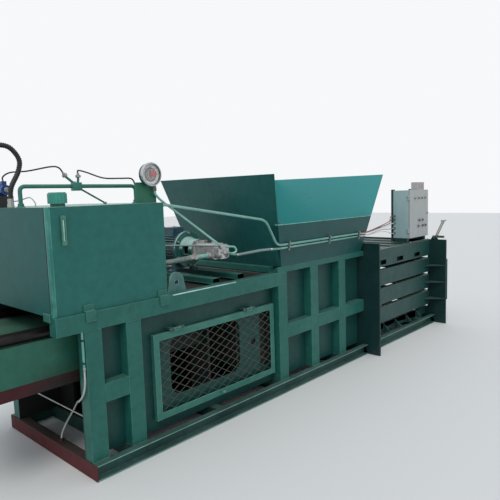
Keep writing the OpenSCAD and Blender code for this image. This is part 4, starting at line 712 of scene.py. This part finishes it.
# The braid is two sets of strands that wind opposite ways, drawn from the hose's own UV map.
weave = Mix("steel_braid", 0.45, 0.6)
hose_map = weave.parts(weave.tree.nodes.new("ShaderNodeTexCoord").outputs["UV"])
strands, turns, waves = 12.0, 80.0, []
for way in (turns, -turns):
    phase = weave.sum(weave.sum(hose_map["Y"], strands), weave.sum(hose_map["X"], way), "ADD")
    waves.append(weave.sum(weave.sum(phase, 2 * math.pi), 0.0, "SINE"))
strand_height = weave.between(weave.sum(waves[0], waves[1], "MAXIMUM"), -0.4, 1.0)
braid_grime = weave.between(weave.noise(14, 5), 0.4, 0.7)
# Painted light and shade: raised strands are light and the grooves between them dark.
strand_light_and_shade = weave.blend(strand_height, (77, 86, 83), (172, 192, 184))
weave.colour(weave.blend(weave.sum(braid_grime, 0.6), strand_light_and_shade, (58, 74, 70)))
weave.gloss(weave.between(braid_grime, 0, 1, 0.4, 0.6))
weave.bump(strand_height, 0.7, 0.0015)
tank_x, suction_y, suction_z = 651, -330, 1240
suction_points = [(691, suction_y, suction_z), (761, -330, 1237), (841, -328, 1232), (921, -328, 1234),
                  (1015, suction_y, suction_z), (1075, suction_y, suction_z)]
suction_line = along(suction_points, 8)
tube("suction_hose_braid", suction_line, 0.020, weave.material, 6, stands_for="suction_hose")
ferrule_steel = bare_steel("ferrule_steel", (176, 176, 170), rust=0.1, rough=0.3)
for k, (x, way) in enumerate([(689, 1), (1077, -1)]):
    turned("suction_ferrule_%d" % (k + 1), at(x, suction_y, suction_z), (way, 0, 0),
           [(0, 0.0212), (0.004, 0.0225), (0.012, 0.0225), (0.002, 0.0212), (0.009, 0.0225), (0.009, 0.0225),
            (0.003, 0.021)], ferrule_steel, 32)
turned("suction_tank_flange", at(tank_x, suction_y, suction_z), FRONT,
       [(0, 0.042), (0.006, 0.042), (0.002, 0.040), (0, 0.03), (0.004, 0.028)], tank_enamel, 48)
for k, x in enumerate((660, 1074.5)):
    turned("suction_nut_%d" % (k + 1), at(x, suction_y, suction_z), FRONT, nut(0.0235, 0.0265, 0.026),
           ferrule_steel, 6)
pipe_enamel = enamel("pipe_enamel", (112, 178, 160), wear=0.6, dust=0.1, streak=0.0, chips=0.2,
                     worn=(190, 222, 212), rough=0.28)
turned("suction_pipe_end", at(1104, suction_y, suction_z), FRONT, [(0, 0.017), (0.112, 0.017)], pipe_enamel, 24)
bell_line_y = -507
gauge_points = [(605, -514, 1753.5), (606, -514, 1732.5), (657, -496, 1696), (1204, bell_line_y, 1326),
                (1354, bell_line_y, 1306), (1375, bell_line_y, 1270), (1334, bell_line_y, 1256),
                (1334, -437.4, 1256)]


def bent(points, bend, steps=8):
    """Straight runs joined by round bends, as a pipe bender leaves them."""
    points = [at(*p) for p in points]
    line = [points[0]]
    for a, b, c in zip(points, points[1:], points[2:]):
        back, on = (a - b).normalized(), (c - b).normalized()
        reach = min(bend, (a - b).length * 0.45, (c - b).length * 0.45)
        start, end = b + back * reach, b + on * reach
        for k in range(steps + 1):
            t = k / steps
            line.append(start * (1 - t) ** 2 + b * 2 * t * (1 - t) + end * t**2)
    return [*line, points[-1]]


tube("gauge_pipe", bent(gauge_points, 0.022, 6), 0.008, pipe_enamel, stands_for="oil_pipes")
turned("gauge_pipe_nut", at(1334, -458, 1256), (0, 1, 0), nut(0.012, 0.014, 0.015), ferrule_steel, 6)

# Painted highlight: the line's upper side is pale.
line_enamel = enamel("pressure_line_enamel", (44, 70, 66), wear=0.6, dust=0.1, streak=0.0,
                     painted_top_light=(150, 178, 172))
pressure_points = [(660, bell_line_y, 1381), (930, bell_line_y, 1355), (1204, bell_line_y, 1326)]
tube("pressure_line", [at(*p) for p in pressure_points], 0.006, line_enamel)
turned("pressure_line_union", at(tank_x, bell_line_y, 1382), (1, 0, -0.095), nut(0.011, 0.013, 0.014),
       ferrule_steel, 6)


def centred_block(name, half, finish, place, axis, degrees):
    """Bevelled block about its own middle, then turned and set at its place."""
    piece = block(name, (-half[0], -half[1], -half[2]), half, finish, 0.004)
    piece.data.transform(Matrix.Translation(place) @ Matrix.Rotation(math.radians(degrees), 4, axis))


centred_block("pressure_line_tee", (0.017, 0.013, 0.013), ferrule_steel, at(*pressure_points[-1]), "Y", 5.4)

arch_points = [(-136, 0, 1702), (-126, 0, 1800), (-72, 0, 1905), (-64, 0, 1985), (-134, 0, 2060), (-256, 0, 2040),
               (-366, 0, 1880), (-446, 0, 1600), (-506, 0, 1300), (-554, 0, 1080), (-554, 0, 928)]
arch_line = along(arch_points, 6)
rubber = sheath("black_cover", (16, 17, 18), dust=(92, 90, 84), rough=0.48)
tube("arch_hose_cover", arch_line, 0.0148, rubber, stands_for="cylinder_hose")
wrapped = [p for p in arch_line if p.z > 1.0]
tube("arch_hose_spiral", around(wrapped, 0.0156, 0.013, 9), 0.0021, rubber, 1)
tank_top = 1676
for k, (x, z) in enumerate([(-136, tank_top), (-554, 900)]):
    turned("arch_hose_nut_%d" % (k + 1), at(x, 0, z), UP,
           [*nut(0.019, 0.0212, 0.020), (0, 0.0176), (0.004, 0.0176), (0, 0.0182), (0.026, 0.0182),
            (0.002, 0.0165)], ferrule_steel, 24)

return_enamel = enamel("return_enamel", (44, 112, 98), wear=0.6, dust=0.3, streak=0.0, chips=0.3, rough=0.32)
return_points = [(-120, -108, tank_top), (-120, -108, 1806), (595, -308, 1794), (595, -308, tank_top)]
tube("return_pipe_run", bent(return_points, 0.034), 0.013, return_enamel, 6,
     stands_for="return_pipe")
for k, (x, y, _) in enumerate(return_points[::3]):
    turned("return_pipe_collar_%d" % (k + 1), at(x, y, tank_top + 0.2), UP,
           [(0, 0.026), (0.005, 0.026), (0.003, 0.019), (0.014, 0.019), (0.002, 0.0165)], return_enamel, 32)
tee_x, tee_y = 212, -201
for k, (x, z, lean) in enumerate([(134, 1872, -35), (228, 1866, 0)]):
    way = (math.sin(math.radians(lean)), 0, math.cos(math.radians(lean)))
    turned("tee_plug_%d" % (k + 1), at(x, tee_y, z) - Vector(way) * 0.010, way,
           [(0, 0.015), (0.003, 0.0172), (0.012, 0.0172), (0.003, 0.012), (0, 0.0085), (0.010, 0.0085),
            (0.002, 0.0065)], zinc, 20)
for k, (x0, z0, x1, z1, radius) in enumerate([(212, 1806, 136, 1866, 0.008), (222, 1806, 228, 1856, 0.008),
                                              (232, 1786, 417, 1684, 0.006)]):
    tube("tee_stub_%d" % (k + 1), [at(x0, tee_y, z0), at(x1, tee_y, z1)], radius, return_enamel,
         smooth=35)
centred_block("tee_block", (0.031, 0.026, 0.027), return_enamel, at(tee_x, tee_y, 1798), "Z", -14)
bolts("tee_block_bolts", (0.010, 0.006), UP, [
    (tee_x + x, tee_y + y, 1825, 0.2) for x, y in [(-17, -14), (17, 14)]])
turned("tee_boss", at(417, tee_y, tank_top), UP, [(0, 0.0095), (0.002, 0.0108), (0.012, 0.0108), (0.002, 0.009)],
       zinc, 6)


# ---------------------------------------------------------------- Tank fittings
# A fluted breather cap of green plastic, the level glass in its frame and a folded strip down the tank's corner,
# with a near black strip beside it painted as the shade in the open seam, and a dark strip painted as the shadow
# beside the level frame. The sight tube is clouded and pale green.
cap = Mix("cap_plastic", 0.38)
cap_tone = cap.blend(cap.sum(cap.between(cap.noise(22, 4), 0.35, 0.7), 0.5), (34, 126, 110), (70, 160, 146))
cap_tone = cap.blend(cap.sum(cap.edge(0.003), 0.5), cap_tone, (136, 196, 178))
cap.colour(cap.blend(cap.sum(cap.facing(0.5, 1.0), 0.25), cap_tone, (150, 150, 136)))
cap.bump(cap.noise(240, 2), 0.12, 0.0006)
coat(cap.material, "filler_cap")
coat(enamel("level_frame", (70, 128, 110), wear=0.5, dust=0.2, rough=0.3), "sight_gauge")
glass = Mix("clouded_sight_tube", 0.12)
glass.colour(glass.blend(glass.between(glass.noise(40, 5, 0.6, (1, 1, 0.2)), 0.35, 0.7), (118, 178, 158),
                         (188, 214, 202)))
glass.shader.inputs["Coat Weight"].default_value = 0.8
# Painted shadow: a dark strip beside the level frame.
block("level_frame_shadow", at(-93.5, -539.6, 1470), at(-90.6, -538.1, 1612),
      sheath("level_frame_painted_shadow", (12, 26, 24), rough=0.7), 0.0004)
turned("level_glass", at(-78, -544.5, 1478.5), UP, nut(0.0052, 0.0062, 0.121, 0.0015), glass.material, 20)
strip_enamel = enamel("corner_strip_enamel", (30, 106, 96), wear=0.6, dust=0.1, streak=0.2,
                      worn=(60, 134, 122))
# Painted shade: a near black strip in the open seam at the tank's corner.
seam_painted_shade = sheath("seam_painted_shade", (4, 10, 10), rough=0.9)
corner_x, corner_y, foot_z = -175.2, -539.2, 1042
for name, x0, y0, x1, y1, finish, edge, slot in (
        ("strip_near", corner_x, corner_y, -150, -537.6, strip_enamel, 0.0006, "green_enamel"),
        ("strip_rear", corner_x, corner_y, -173.6, -515, strip_enamel, 0.0006, "green_enamel"),
        ("seam", -174.6, -514.8, -173.8, -504.8, seam_painted_shade, 0.0003, "dark_enamel")):
    block("tank_corner_" + name, at(x0, y0, foot_z), at(x1, y1, tank_top - 1), finish, edge)


# ---------------------------------------------------------------- Pressure gauge
# A liquid-filled gauge in a pressed steel case with a rolled bezel. Behind its clear pane the
# dial is white with printed ticks, a dark ring and a red field to the right of its middle.
gauge_steel = bare_steel("gauge_case_steel", (92, 94, 96), rust=0.12, rough=0.26, grain=(30, 30, 30))
coat(gauge_steel, "pressure_gauge")
bezel_steel = bare_steel("gauge_bezel_steel", (186, 190, 194), rust=0.05, rough=0.3, grain=(30, 30, 30))
gauge_mid = at(565, -490, 1862)


def on_dial(depth, x=0.0, z=0.0):
    """Place in front of the gauge's middle plane."""
    return gauge_mid + Vector((x, -depth, z))


turned("gauge_bezel", on_dial(0.036), NEAR,
       [(0, 0.0772), (0.008, 0.0785), (0.010, 0.0785), (0.003, 0.0765), (0, 0.0705), (-0.0195, 0.0690)],
       bezel_steel, 64)
dial = Mix("dial_paint", 0.5)
dial_place = dial.tree.nodes.new("ShaderNodeMapping")
dial_place.inputs["Location"].default_value = -gauge_mid
dial.link(dial.place, dial_place.inputs["Vector"])
dial_parts = dial.parts(dial_place.outputs[0])
flat = dial.tree.nodes.new("ShaderNodeCombineXYZ")
reach = dial.tree.nodes.new("ShaderNodeVectorMath")
reach.operation = "LENGTH"
for axis in ("X", "Z"):
    dial.link(dial_parts[axis], flat.inputs[axis])
dial.link(flat.outputs[0], reach.inputs[0])
from_middle = reach.outputs["Value"]
dial_tone = dial.blend(dial.between(from_middle, 0.0405, 0.0395), (226, 226, 220), (136, 124, 120))
dark_ring = dial.sum(dial.between(from_middle, 0.0385, 0.0392), dial.between(from_middle, 0.0485, 0.0478))
dial_tone = dial.blend(dark_ring, dial_tone, (48, 44, 44))
old_paper = dial.between(dial.noise(30, 4), 0.4, 0.7)
dial.colour(dial.blend(dial.sum(old_paper, 0.4), dial_tone, (170, 166, 150)))
turned("gauge_dial", on_dial(0.0378), NEAR, [(0, 0.0680), (0.0006, 0.0684), (0.0004, 0.0680)], dial.material, 64)
ink = sheath("dial_ink", (22, 22, 24), rough=0.6)


def dial_ticks(name, count, inner, width, outer=0.062, start=-135, sweep=270):
    """Thin bevelled bars round the dial, raised a little as printed ink."""
    bar = bevelled_cube("dial_tick", (0, 0, 0), (width, 0.0004, outer - inner), 0.00012, 1)
    bar.select_set(False)
    places = []
    for k in range(count):
        turn = Matrix.Rotation(math.radians(start + sweep * k / (count - 1)), 4, "Y")
        places.append(Matrix.Translation(on_dial(0.0390)) @ turn @ Matrix.Translation((0, 0, (inner + outer) / 2)))
    copies(name, bar, places, ink)


dial_ticks("dial_long_ticks", 7, 0.049, 0.0022)
dial_ticks("dial_short_ticks", 31, 0.056, 0.0011)
turned("dial_red_field", on_dial(0.0387, 0.030, 0.006), NEAR, [(0, 0.0215), (0.0004, 0.022), (0.0003, 0.0215)],
       sheath("dial_red", (196, 40, 42), rough=0.5), 32)
coat(sheath("pointer_paint", (150, 30, 28), rough=0.4), "gauge_pointer")
pane = Mix("clear_pane", 0.06)
pane.shader.inputs["Base Color"].default_value = (0.8, 0.84, 0.84, 1)
pane.shader.inputs["Alpha"].default_value = 0.10
pane.gloss(pane.between(pane.noise(26, 5), 0.45, 0.8, 0.05, 0.16))
turned("gauge_pane", on_dial(0.0482), NEAR, [(0, 0.0682), (0.0008, 0.0686), (0.0010, 0.0680)], pane.material, 48)
turned("gauge_stem", at(605, -514, 1761), UP, [(0, 0.0092), (0.003, 0.0098), (0.026, 0.0098)], gauge_steel, 24)


# ---------------------------------------------------------------- Valve block and its coils
# A black manifold bolted on the tank carries the main valve, and a blue moulded coil with its
# plug stands at each end of it.
dress(sheath("manifold_black", (26, 27, 29), dust=(86, 84, 78), rough=0.42), "valve_block", width=0.002)
coil_blue = sheath("coil_blue_plastic", (20, 62, 128), dust=(96, 106, 118), rough=0.4)
coat(coil_blue, "valve_coils")
valve_x, valve_y, valve_z = -108, 240, 1790
bolts("manifold_bolts", (0.013, 0.008, 0.0015), UP, [
    (valve_x + x, valve_y + y, valve_z + rise, turn)
    for xs, ys, rise, turn in (((-52, 36), (-106, 106), -42, 0.3), ((-27, 27), (-30, 30), 36, 0.1))
    for x in xs for y in ys])
for k, way in enumerate((-1, 1)):
    turned("coil_nut_%d" % (k + 1), at(valve_x, valve_y + way * 120, valve_z), (0, way, 0),
           [(0, 0.016), (0.002, 0.018), (0.009, 0.018), (0.003, 0.014)], zinc, 6)
    turned("coil_rib_%d" % (k + 1), at(valve_x, valve_y + way * 76, valve_z), (0, way, 0),
           nut(0.0336, 0.0348, 0.006, 0.001), coil_blue, 48)


# ---------------------------------------------------------------- Thin leads on the tank
# Insulated leads, two black and one pale, join the coils' plugs, the tee's plugs, the gauge plate
# and the tank's top. They are stiff, held at both ends and bent by hand between them.
lead_black = sheath("lead_black_cover", (14, 15, 17), dust=(70, 70, 68), rough=0.42)
lead_pale = sheath("lead_pale_cover", (196, 204, 204), rough=0.42)
lead_runs = [
    ([(228, -201, 1883.8), (230, -204, 1902), (264, -246, 1888), (334, -331, 1848), (408, -415, 1842),
      (479, -436, 1838), (499, -446, 1796), (501, -464, 1788), (501, -483, 1788)], 0.005, lead_black),
    ([(-108, 158, 1848.9), (-108, 156, 1876), (-78, 110, 1902), (-18, -10, 1906), (62, -161, 1926),
      (100, -195, 1919), (122.6, -201, 1888.2)], 0.005, lead_black),
    ([(-62.6, 140, 1716), (-36, 136, 1716), (-16, 90, 1726), (-10, 0, 1736), (-8, -62, 1702),
      (-8, -64, 1676.9)], 0.004, lead_pale),
]
for k, (points, radius, cover) in enumerate(lead_runs):
    tube("tank_lead_%d" % (k + 1), along(points, 6), radius, cover, 4, stands_for="tank_leads")


# ---------------------------------------------------------------- Conduits along the hopper
# Two painted steel conduits run from the tank and the pump to the cabinet's leads. They are bent
# by hand, clipped to the hopper, and the lower one starts in a length of flexible conduit. A
# short one clipped to the first upright ends where the rear cable leaves it.
conduit_enamel = enamel("conduit_enamel", (92, 152, 140), wear=0.6, dust=0.15, streak=0.0, chips=0.3,
                        worn=(172, 208, 200), rough=0.32)
hopper_foot_y, hopper_foot_z = -560, 1085
hopper_flare, hopper_height = 155, 777
upper_z, lower_z = 1280, 1253


def wall_y(z, r=10):
    """Across place of a conduit of this radius on the leaning sheet of the hopper."""
    return hopper_foot_y - hopper_flare * (z - hopper_foot_z) / hopper_height - (r + 0.6) * 1.02


upper_points = [(651.4, -512, 1658), (685, -512, 1658), (1560, wall_y(1503), 1503),
                (1747, wall_y(upper_z), upper_z), (3050, wall_y(upper_z), upper_z)]
lower_points = [(1384.4, suction_y, suction_z), (1414, suction_y, suction_z), (1490, -390, 1218),
                (1671, -508, 1247), (1776, wall_y(lower_z) - 3, lower_z), (3050, wall_y(lower_z), lower_z)]
for name, points, radius, bend in (("upper", upper_points, 0.010, 0.060), ("lower", lower_points, 0.009, 0.040)):
    tube("conduit_" + name, bent(points, bend), radius, conduit_enamel, stands_for="conduits")
flexible = bent([lower_points[2], lower_points[3], (1738, -571.4, 1250.8)], 0.040)
grey_flex = sheath("grey_flexible_conduit", (150, 156, 162), dust=(110, 110, 104), rough=0.45)
tube("conduit_flexible_rib", around(flexible, 0.0104, 0.009, 10), 0.0026, grey_flex, 1)
for k, (end, inner) in enumerate([flexible[:2], flexible[:-3:-1]]):
    turned("conduit_flexible_end_%d" % (k + 1), end, inner - end, nut(0.0125, 0.0140, 0.018), zinc, 12)
turned("conduit_nut_1", at(tank_x, -512, 1658), FRONT, nut(0.016, 0.0185, 0.012), zinc, 6)
turned("conduit_pump_nut", at(1384, suction_y, suction_z), FRONT, nut(0.015, 0.0175, 0.014), zinc, 6)
clip_steel = enamel("conduit_clip_enamel", (20, 54, 50), wear=0.5, dust=0.1, streak=0.0)
clip_x = (1894, 2494, 3010)
bolts("conduit_clip_bolts", (0.012, 0.006, 0.0015), (0, -0.98, -0.195), [
    (x, wall_y(z, 26) + 0.5, z, 0.3 * z) for x in clip_x for z in (1296, 1266.5, 1236)])
for k, x in enumerate(clip_x):
    middle = at(x, (wall_y(1238, -0.3) + wall_y(1238, 26)) / 2, 1265.5)
    strap = bevelled_cube("conduit_clip_%d" % (k + 1), middle, (0.018, 0.0268, 0.055), 0.003)
    for vert in strap.data.vertices:
        vert.co.y -= hopper_flare / hopper_height * (vert.co.z + 0.0275)
    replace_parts(finished(strap, clip_steel), "conduits")
post_x, post_y = -10.5, -548
tube("conduit_rear", [at(post_x, post_y, z) for z in (690, 760, 840, 926.7)], 0.008, conduit_enamel,
     stands_for="conduits")
for k, z in enumerate((730, 870)):
    clip = block("conduit_rear_clip_%d" % (k + 1), at(-20, -558, z), at(0, -538, z + 14), clip_steel, 0.003)
    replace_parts(clip, "conduits")
turned("conduit_rear_bush", at(post_x, post_y, 690), UP,
       [(0, 0.0088), (0.002, 0.0104), (0.016, 0.0104), (0.002, 0.0092)], zinc, 12)


# ---------------------------------------------------------------- Control cabinet
# A powder-coated steel cabinet on a stand of flat bar, with a folded door, a row of indicator
# lamps, five push buttons and a cam lock. A small buzzer box stands on its top.
powder = Mix("cabinet_powder_coat", 0.42)
coat_tone = powder.blend(powder.sum(powder.between(powder.noise(3.2, 5), 0.35, 0.7), 0.4), (166, 170, 168),
                         (150, 156, 156))
coat_runs = powder.between(powder.noise(1, 5, 0.6, (22, 22, 2.2)), 0.52, 0.78)
coat_tone = powder.blend(powder.sum(coat_runs, 0.35), coat_tone, (128, 134, 132))
coat_dirt = powder.between(powder.noise(26, 6, 0.75), 0.62, 0.72)
coat_tone = powder.blend(powder.sum(coat_dirt, 0.45), coat_tone, (116, 104, 92))
coat_rim = powder.sum(powder.edge(0.004), powder.between(powder.noise(14, 5), 0.45, 0.6))
coat_tone = powder.blend(powder.sum(coat_rim, 0.5), coat_tone, (96, 100, 100))
powder.colour(powder.blend(powder.sum(powder.facing(0.5, 1), 0.5), coat_tone, (140, 134, 120)))
powder.bump(powder.noise(420, 2), 0.18, 0.0006)
dress(powder.material, "cabinet_body", "cabinet_door", width=0.0015, clean=False)
box_coat = Mix("cabinet_body_coat", 0.4)
box_tone = box_coat.blend(box_coat.between(box_coat.noise(1, 5, 0.6, (5, 5, 2)), 0.35, 0.7), (150, 178, 180),
                          (170, 194, 196))
buzzer_share = box_coat.between(box_coat.parts(box_coat.place)["Z"], 1.6885, 1.6895)
box_tone = box_coat.blend(buzzer_share, box_tone, (178, 170, 172))
box_rim = box_coat.sum(box_coat.edge(0.004), box_coat.between(box_coat.noise(14, 5), 0.45, 0.6))
box_coat.colour(box_coat.blend(box_coat.sum(box_rim, 0.5), box_tone, (96, 104, 104)))
box_coat.bump(box_coat.noise(420, 2), 0.18, 0.0006)
coat(box_coat.material, "cabinet_body")
dress(enamel("stand_enamel", (30, 62, 58), wear=0.5, dust=0.6, chips=0.5), "cabinet_stand", width=0.0015)
cabinet_x, door_face_y = 4349, -518
lens_colours = (("white", (140, 132, 126)), ("red", (92, 22, 20)), ("green", (22, 70, 44)),
                ("amber", (120, 70, 20)))
bezel_chrome = bare_steel("bezel_chrome", (150, 150, 148), rust=0.0, rough=0.2)
for k, (name, colour) in enumerate(lens_colours):
    middle = at(cabinet_x + 132 + 91 * k, -510, 1592)
    turned("lamp_bezel_%d" % (k + 1), middle, NEAR,
           [(0, 0.0150), (0.003, 0.0155), (0.003, 0.0148), (0.003, 0.0128), (0, 0.0112), (-0.001, 0.0110)],
           bezel_chrome, 32, "panel_door")
    lens = turned("lamp_lens_%d" % (k + 1), middle + Vector((0, -0.006, 0)), NEAR,
                  [(0, 0.0108), (0.006, 0.0108), (0.003, 0.0098), (0.003, 0.0076), (0.0015, 0.0042),
                   (0.0004, 0.0008)], sheath("lamp_lens_" + name, colour, rough=0.12), 32,
                  "panel_door")
    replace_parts(lens, "pilot_lamps")
button_black = sheath("button_black_plastic", (18, 18, 20), rough=0.34)
button_red = sheath("button_red_plastic", (136, 26, 24), rough=0.34)
for k in range(5):
    button = "button_%d" % (k + 1)
    coat(button_red if k == 2 else button_black, button)
    middle = sum(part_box(button), Vector()) / 2
    turned("button_ring_%d" % (k + 1), Vector((middle.x, door_face_y / 1000, middle.z)), NEAR,
           [(0, 0.0185), (0.002, 0.0185), (0.0015, 0.0165), (0, 0.0132), (-0.0015, 0.0128)], bezel_chrome, 36,
           "panel_door")
turned("cabinet_lock_face", at(cabinet_x + 472, door_face_y, 1400.5), NEAR,
       [(0, 0.0118), (0.0006, 0.0122), (0.003, 0.0122), (0.0015, 0.0108), (0, 0.0062), (-0.002, 0.0058)],
       bezel_chrome, 32, "panel_door")
gasket = sheath("door_gasket", (34, 36, 36), rough=0.7)
for name, x in (("left", cabinet_x + 3), ("right", cabinet_x + 491)):
    block("cabinet_gasket_" + name, at(x, -489, 1116), at(x + 6, -487.3, 1685), gasket, 0.0005)
bolts("cabinet_stand_bolts", (0.013, 0.008, 0.002), UP, [
    (x, y, 1063, 0.1 * x) for x in (4352, 4838) for y in (-512, -278)])


# ---------------------------------------------------------------- Leads to the cabinet
# Five insulated wires, red, black, grey and two white, leave the conduits' ends together and
# are drawn tight up to the glands on the cabinet's side.
wires = (("red", (150, 40, 44), 0.005), ("black", (20, 21, 24), 0.005), ("white", (224, 222, 220), 0.005),
         ("grey", (176, 178, 180), 0.005), ("pale", (224, 222, 218), 0.004))
gland_z = [1380, 1337, 1294, 1233, 1171]
gland_y, wall = -311, wall_y(upper_z)
for i, (name, colour, radius) in enumerate(wires):
    z = 1285 - 5 * i if i < 3 else 1256 - 6 * (i - 3)
    end_z = gland_z[i]
    rise = end_z - gland_z[2]
    points = [(3050.4, wall - 1, z), (3140, wall - 1, z), (3260, wall + 14, z + 4 - i),
              (3610, wall + 75, 1292 + 0.30 * rise), (3980, wall + 175, 1288 + 0.62 * rise),
              (cabinet_x - 125, -321, end_z - 0.05 * (end_z - 1280)), (cabinet_x - 60, -311.6, end_z - 0.4),
              (cabinet_x - 18.8, gland_y, end_z)]
    cover = sheath("wire_" + name, colour, rough=0.42)
    tube("cabinet_wire_%d" % (i + 1), along(points, 8), radius, cover, 4,
         stands_for="cabinet_cables")
    turned("cabinet_gland_%d" % (i + 1), at(cabinet_x - 18.6, gland_y, end_z), FRONT,
           [(0, 0.0075), (0.004, 0.0105), (0.003, 0.0118), (0.006, 0.0118), (0.001, 0.0108), (0, 0.0128),
            (0.004, 0.0128)], button_black, 24)


# ---------------------------------------------------------------- Guard door
# A frame of angle steel holds a sheet of expanded mesh in front of the window. It swings up on
# two barrel hinges, whose pins are peened over, and a turn catch keeps it shut.
guard_enamel = enamel("guard_enamel", (42, 106, 94), wear=0.9, dust=0.2, streak=0.3, chips=0.3,
                      worn=(92, 150, 136))
dress(guard_enamel, "guard_door", width=0.0015, clean=False)
mesh_paint = Mix("mesh_dull_paint", 0.6)
mesh_wear = mesh_paint.between(mesh_paint.noise(16, 5, 0.7), 0.4, 0.62)
mesh_paint.colour(mesh_paint.blend(mesh_wear, (30, 66, 56), (84, 74, 64)))
coat(mesh_paint.material, "guard_mesh")
coat(enamel("hinge_enamel", (22, 66, 58), wear=0.8, dust=0.1, chips=0.5, worn=(96, 132, 124), rough=0.3),
     "guard_hinges")
for k, x in enumerate((660, 1405)):
    for name, end, way in (("rear", x, -1), ("front", x + 120, 1)):
        turned("hinge_pin_head_%d_%s" % (k + 1, name), at(end, -535, 795), (way, 0, 0),
               [(0, 0.0058), (0.0006, 0.0082), (0.0018, 0.0084), (0.0016, 0.0066), (0.0006, 0.0035)], zinc, 24)
turned("guard_catch_screw", at(1149.5, -541.9, 200), NEAR,
       [(0, 0.0056), (0.0006, 0.0078), (0.0024, 0.0078), (0.0012, 0.0060)], zinc, 24, "guard")


# ---------------------------------------------------------------- Bale door lever
# The lever is two bare round bars with a cross bar, turned on the top of the end plate. Its
# tongue drops in front of the door, and hands have worn it bright.
coat(bare_steel("lever_steel", (150, 148, 138), rust=0.35, rough=0.34, grain=(40, 40, 6)), "latch_lever")


# ---------------------------------------------------------------- Welds
# Posts, rails, lugs and clips are joined by hand-laid fillet welds that were painted over, and
# they stand a little proud of the plate along each joint.
def weld_bead(name, runs, radius):
    """Rippled bead along each straight run, given by its two ends."""
    shape = bmesh.new()
    for number, (a, b) in enumerate([(at(*start), at(*end)) for start, end in runs]):
        way = (b - a).normalized()
        side = way.orthogonal().normalized()
        other = way.cross(side)
        steps = max(4, round((b - a).length / 0.0035))
        rings = []
        for i in range(steps + 1):
            t = i / steps
            swell = 1 + 0.16 * math.sin(i * 1.9 + number) + 0.07 * math.sin(i * 0.37 + 2.1 * number)
            if i in (0, steps):
                swell *= 0.45
            drift = side * radius * 0.12 * math.sin(i * 0.21 + number)
            spokes = [side * math.cos(k * math.pi / 3) + other * math.sin(k * math.pi / 3) for k in range(6)]
            rings.append([shape.verts.new(a + (b - a) * t + drift + spoke * radius * swell) for spoke in spokes])
        for low, high in zip(rings, rings[1:]):
            for k in range(6):
                shape.faces.new((low[k], low[(k + 1) % 6], high[(k + 1) % 6], high[k]))
        shape.faces.new(list(reversed(rings[0])))
        shape.faces.new(rings[-1])
    bmesh.ops.recalc_face_normals(shape, faces=shape.faces)
    finished(piece_of(name, shape), frame_enamel, smooth=70)


posts = [(0, 115), (290, 405), (1810, 1925), (2270, 2385), (2730, 2845)]
widest_railed_bay = 600
for side, name in ((-1, "near"), (1, "far")):
    face = side * 560.5
    runs = []
    for x0, x1 in posts:
        runs += [((x0 + 4, face, 927), (x1 - 4, face, 927)),
                 ((x0 + 2, side * 562, 101.5), (x1 - 2, side * 562, 101.5)),
                 ((x1 + 1, side * 556, 101.5), (x1 + 1, side * 484, 101.5))]
    for (_, x0), (x1, _) in zip(posts, posts[1:]):
        if x1 - x0 < widest_railed_bay:
            runs += [((x, face, 459), (x, face, 571)) for x in (x0, x1)]
    weld_bead("frame_welds_" + name, runs, 0.0030)
    lug_runs = [((668, side * y, 1041.5), (834, side * y, 1041.5)) for y in (497, 519)]
    weld_bead("lug_welds_" + name, lug_runs, 0.0048)
    clip_runs = [((x, side * 571, 987), (x + 62, side * 571, 987)) for x in (16, 567)]
    weld_bead("clip_welds_" + name, clip_runs, 0.0032)
weld_bead("rail_joint_welds", [((x, -478, 1041), (x, 478, 1041)) for x in (1127, 1203, 1397, 1473)], 0.0028)
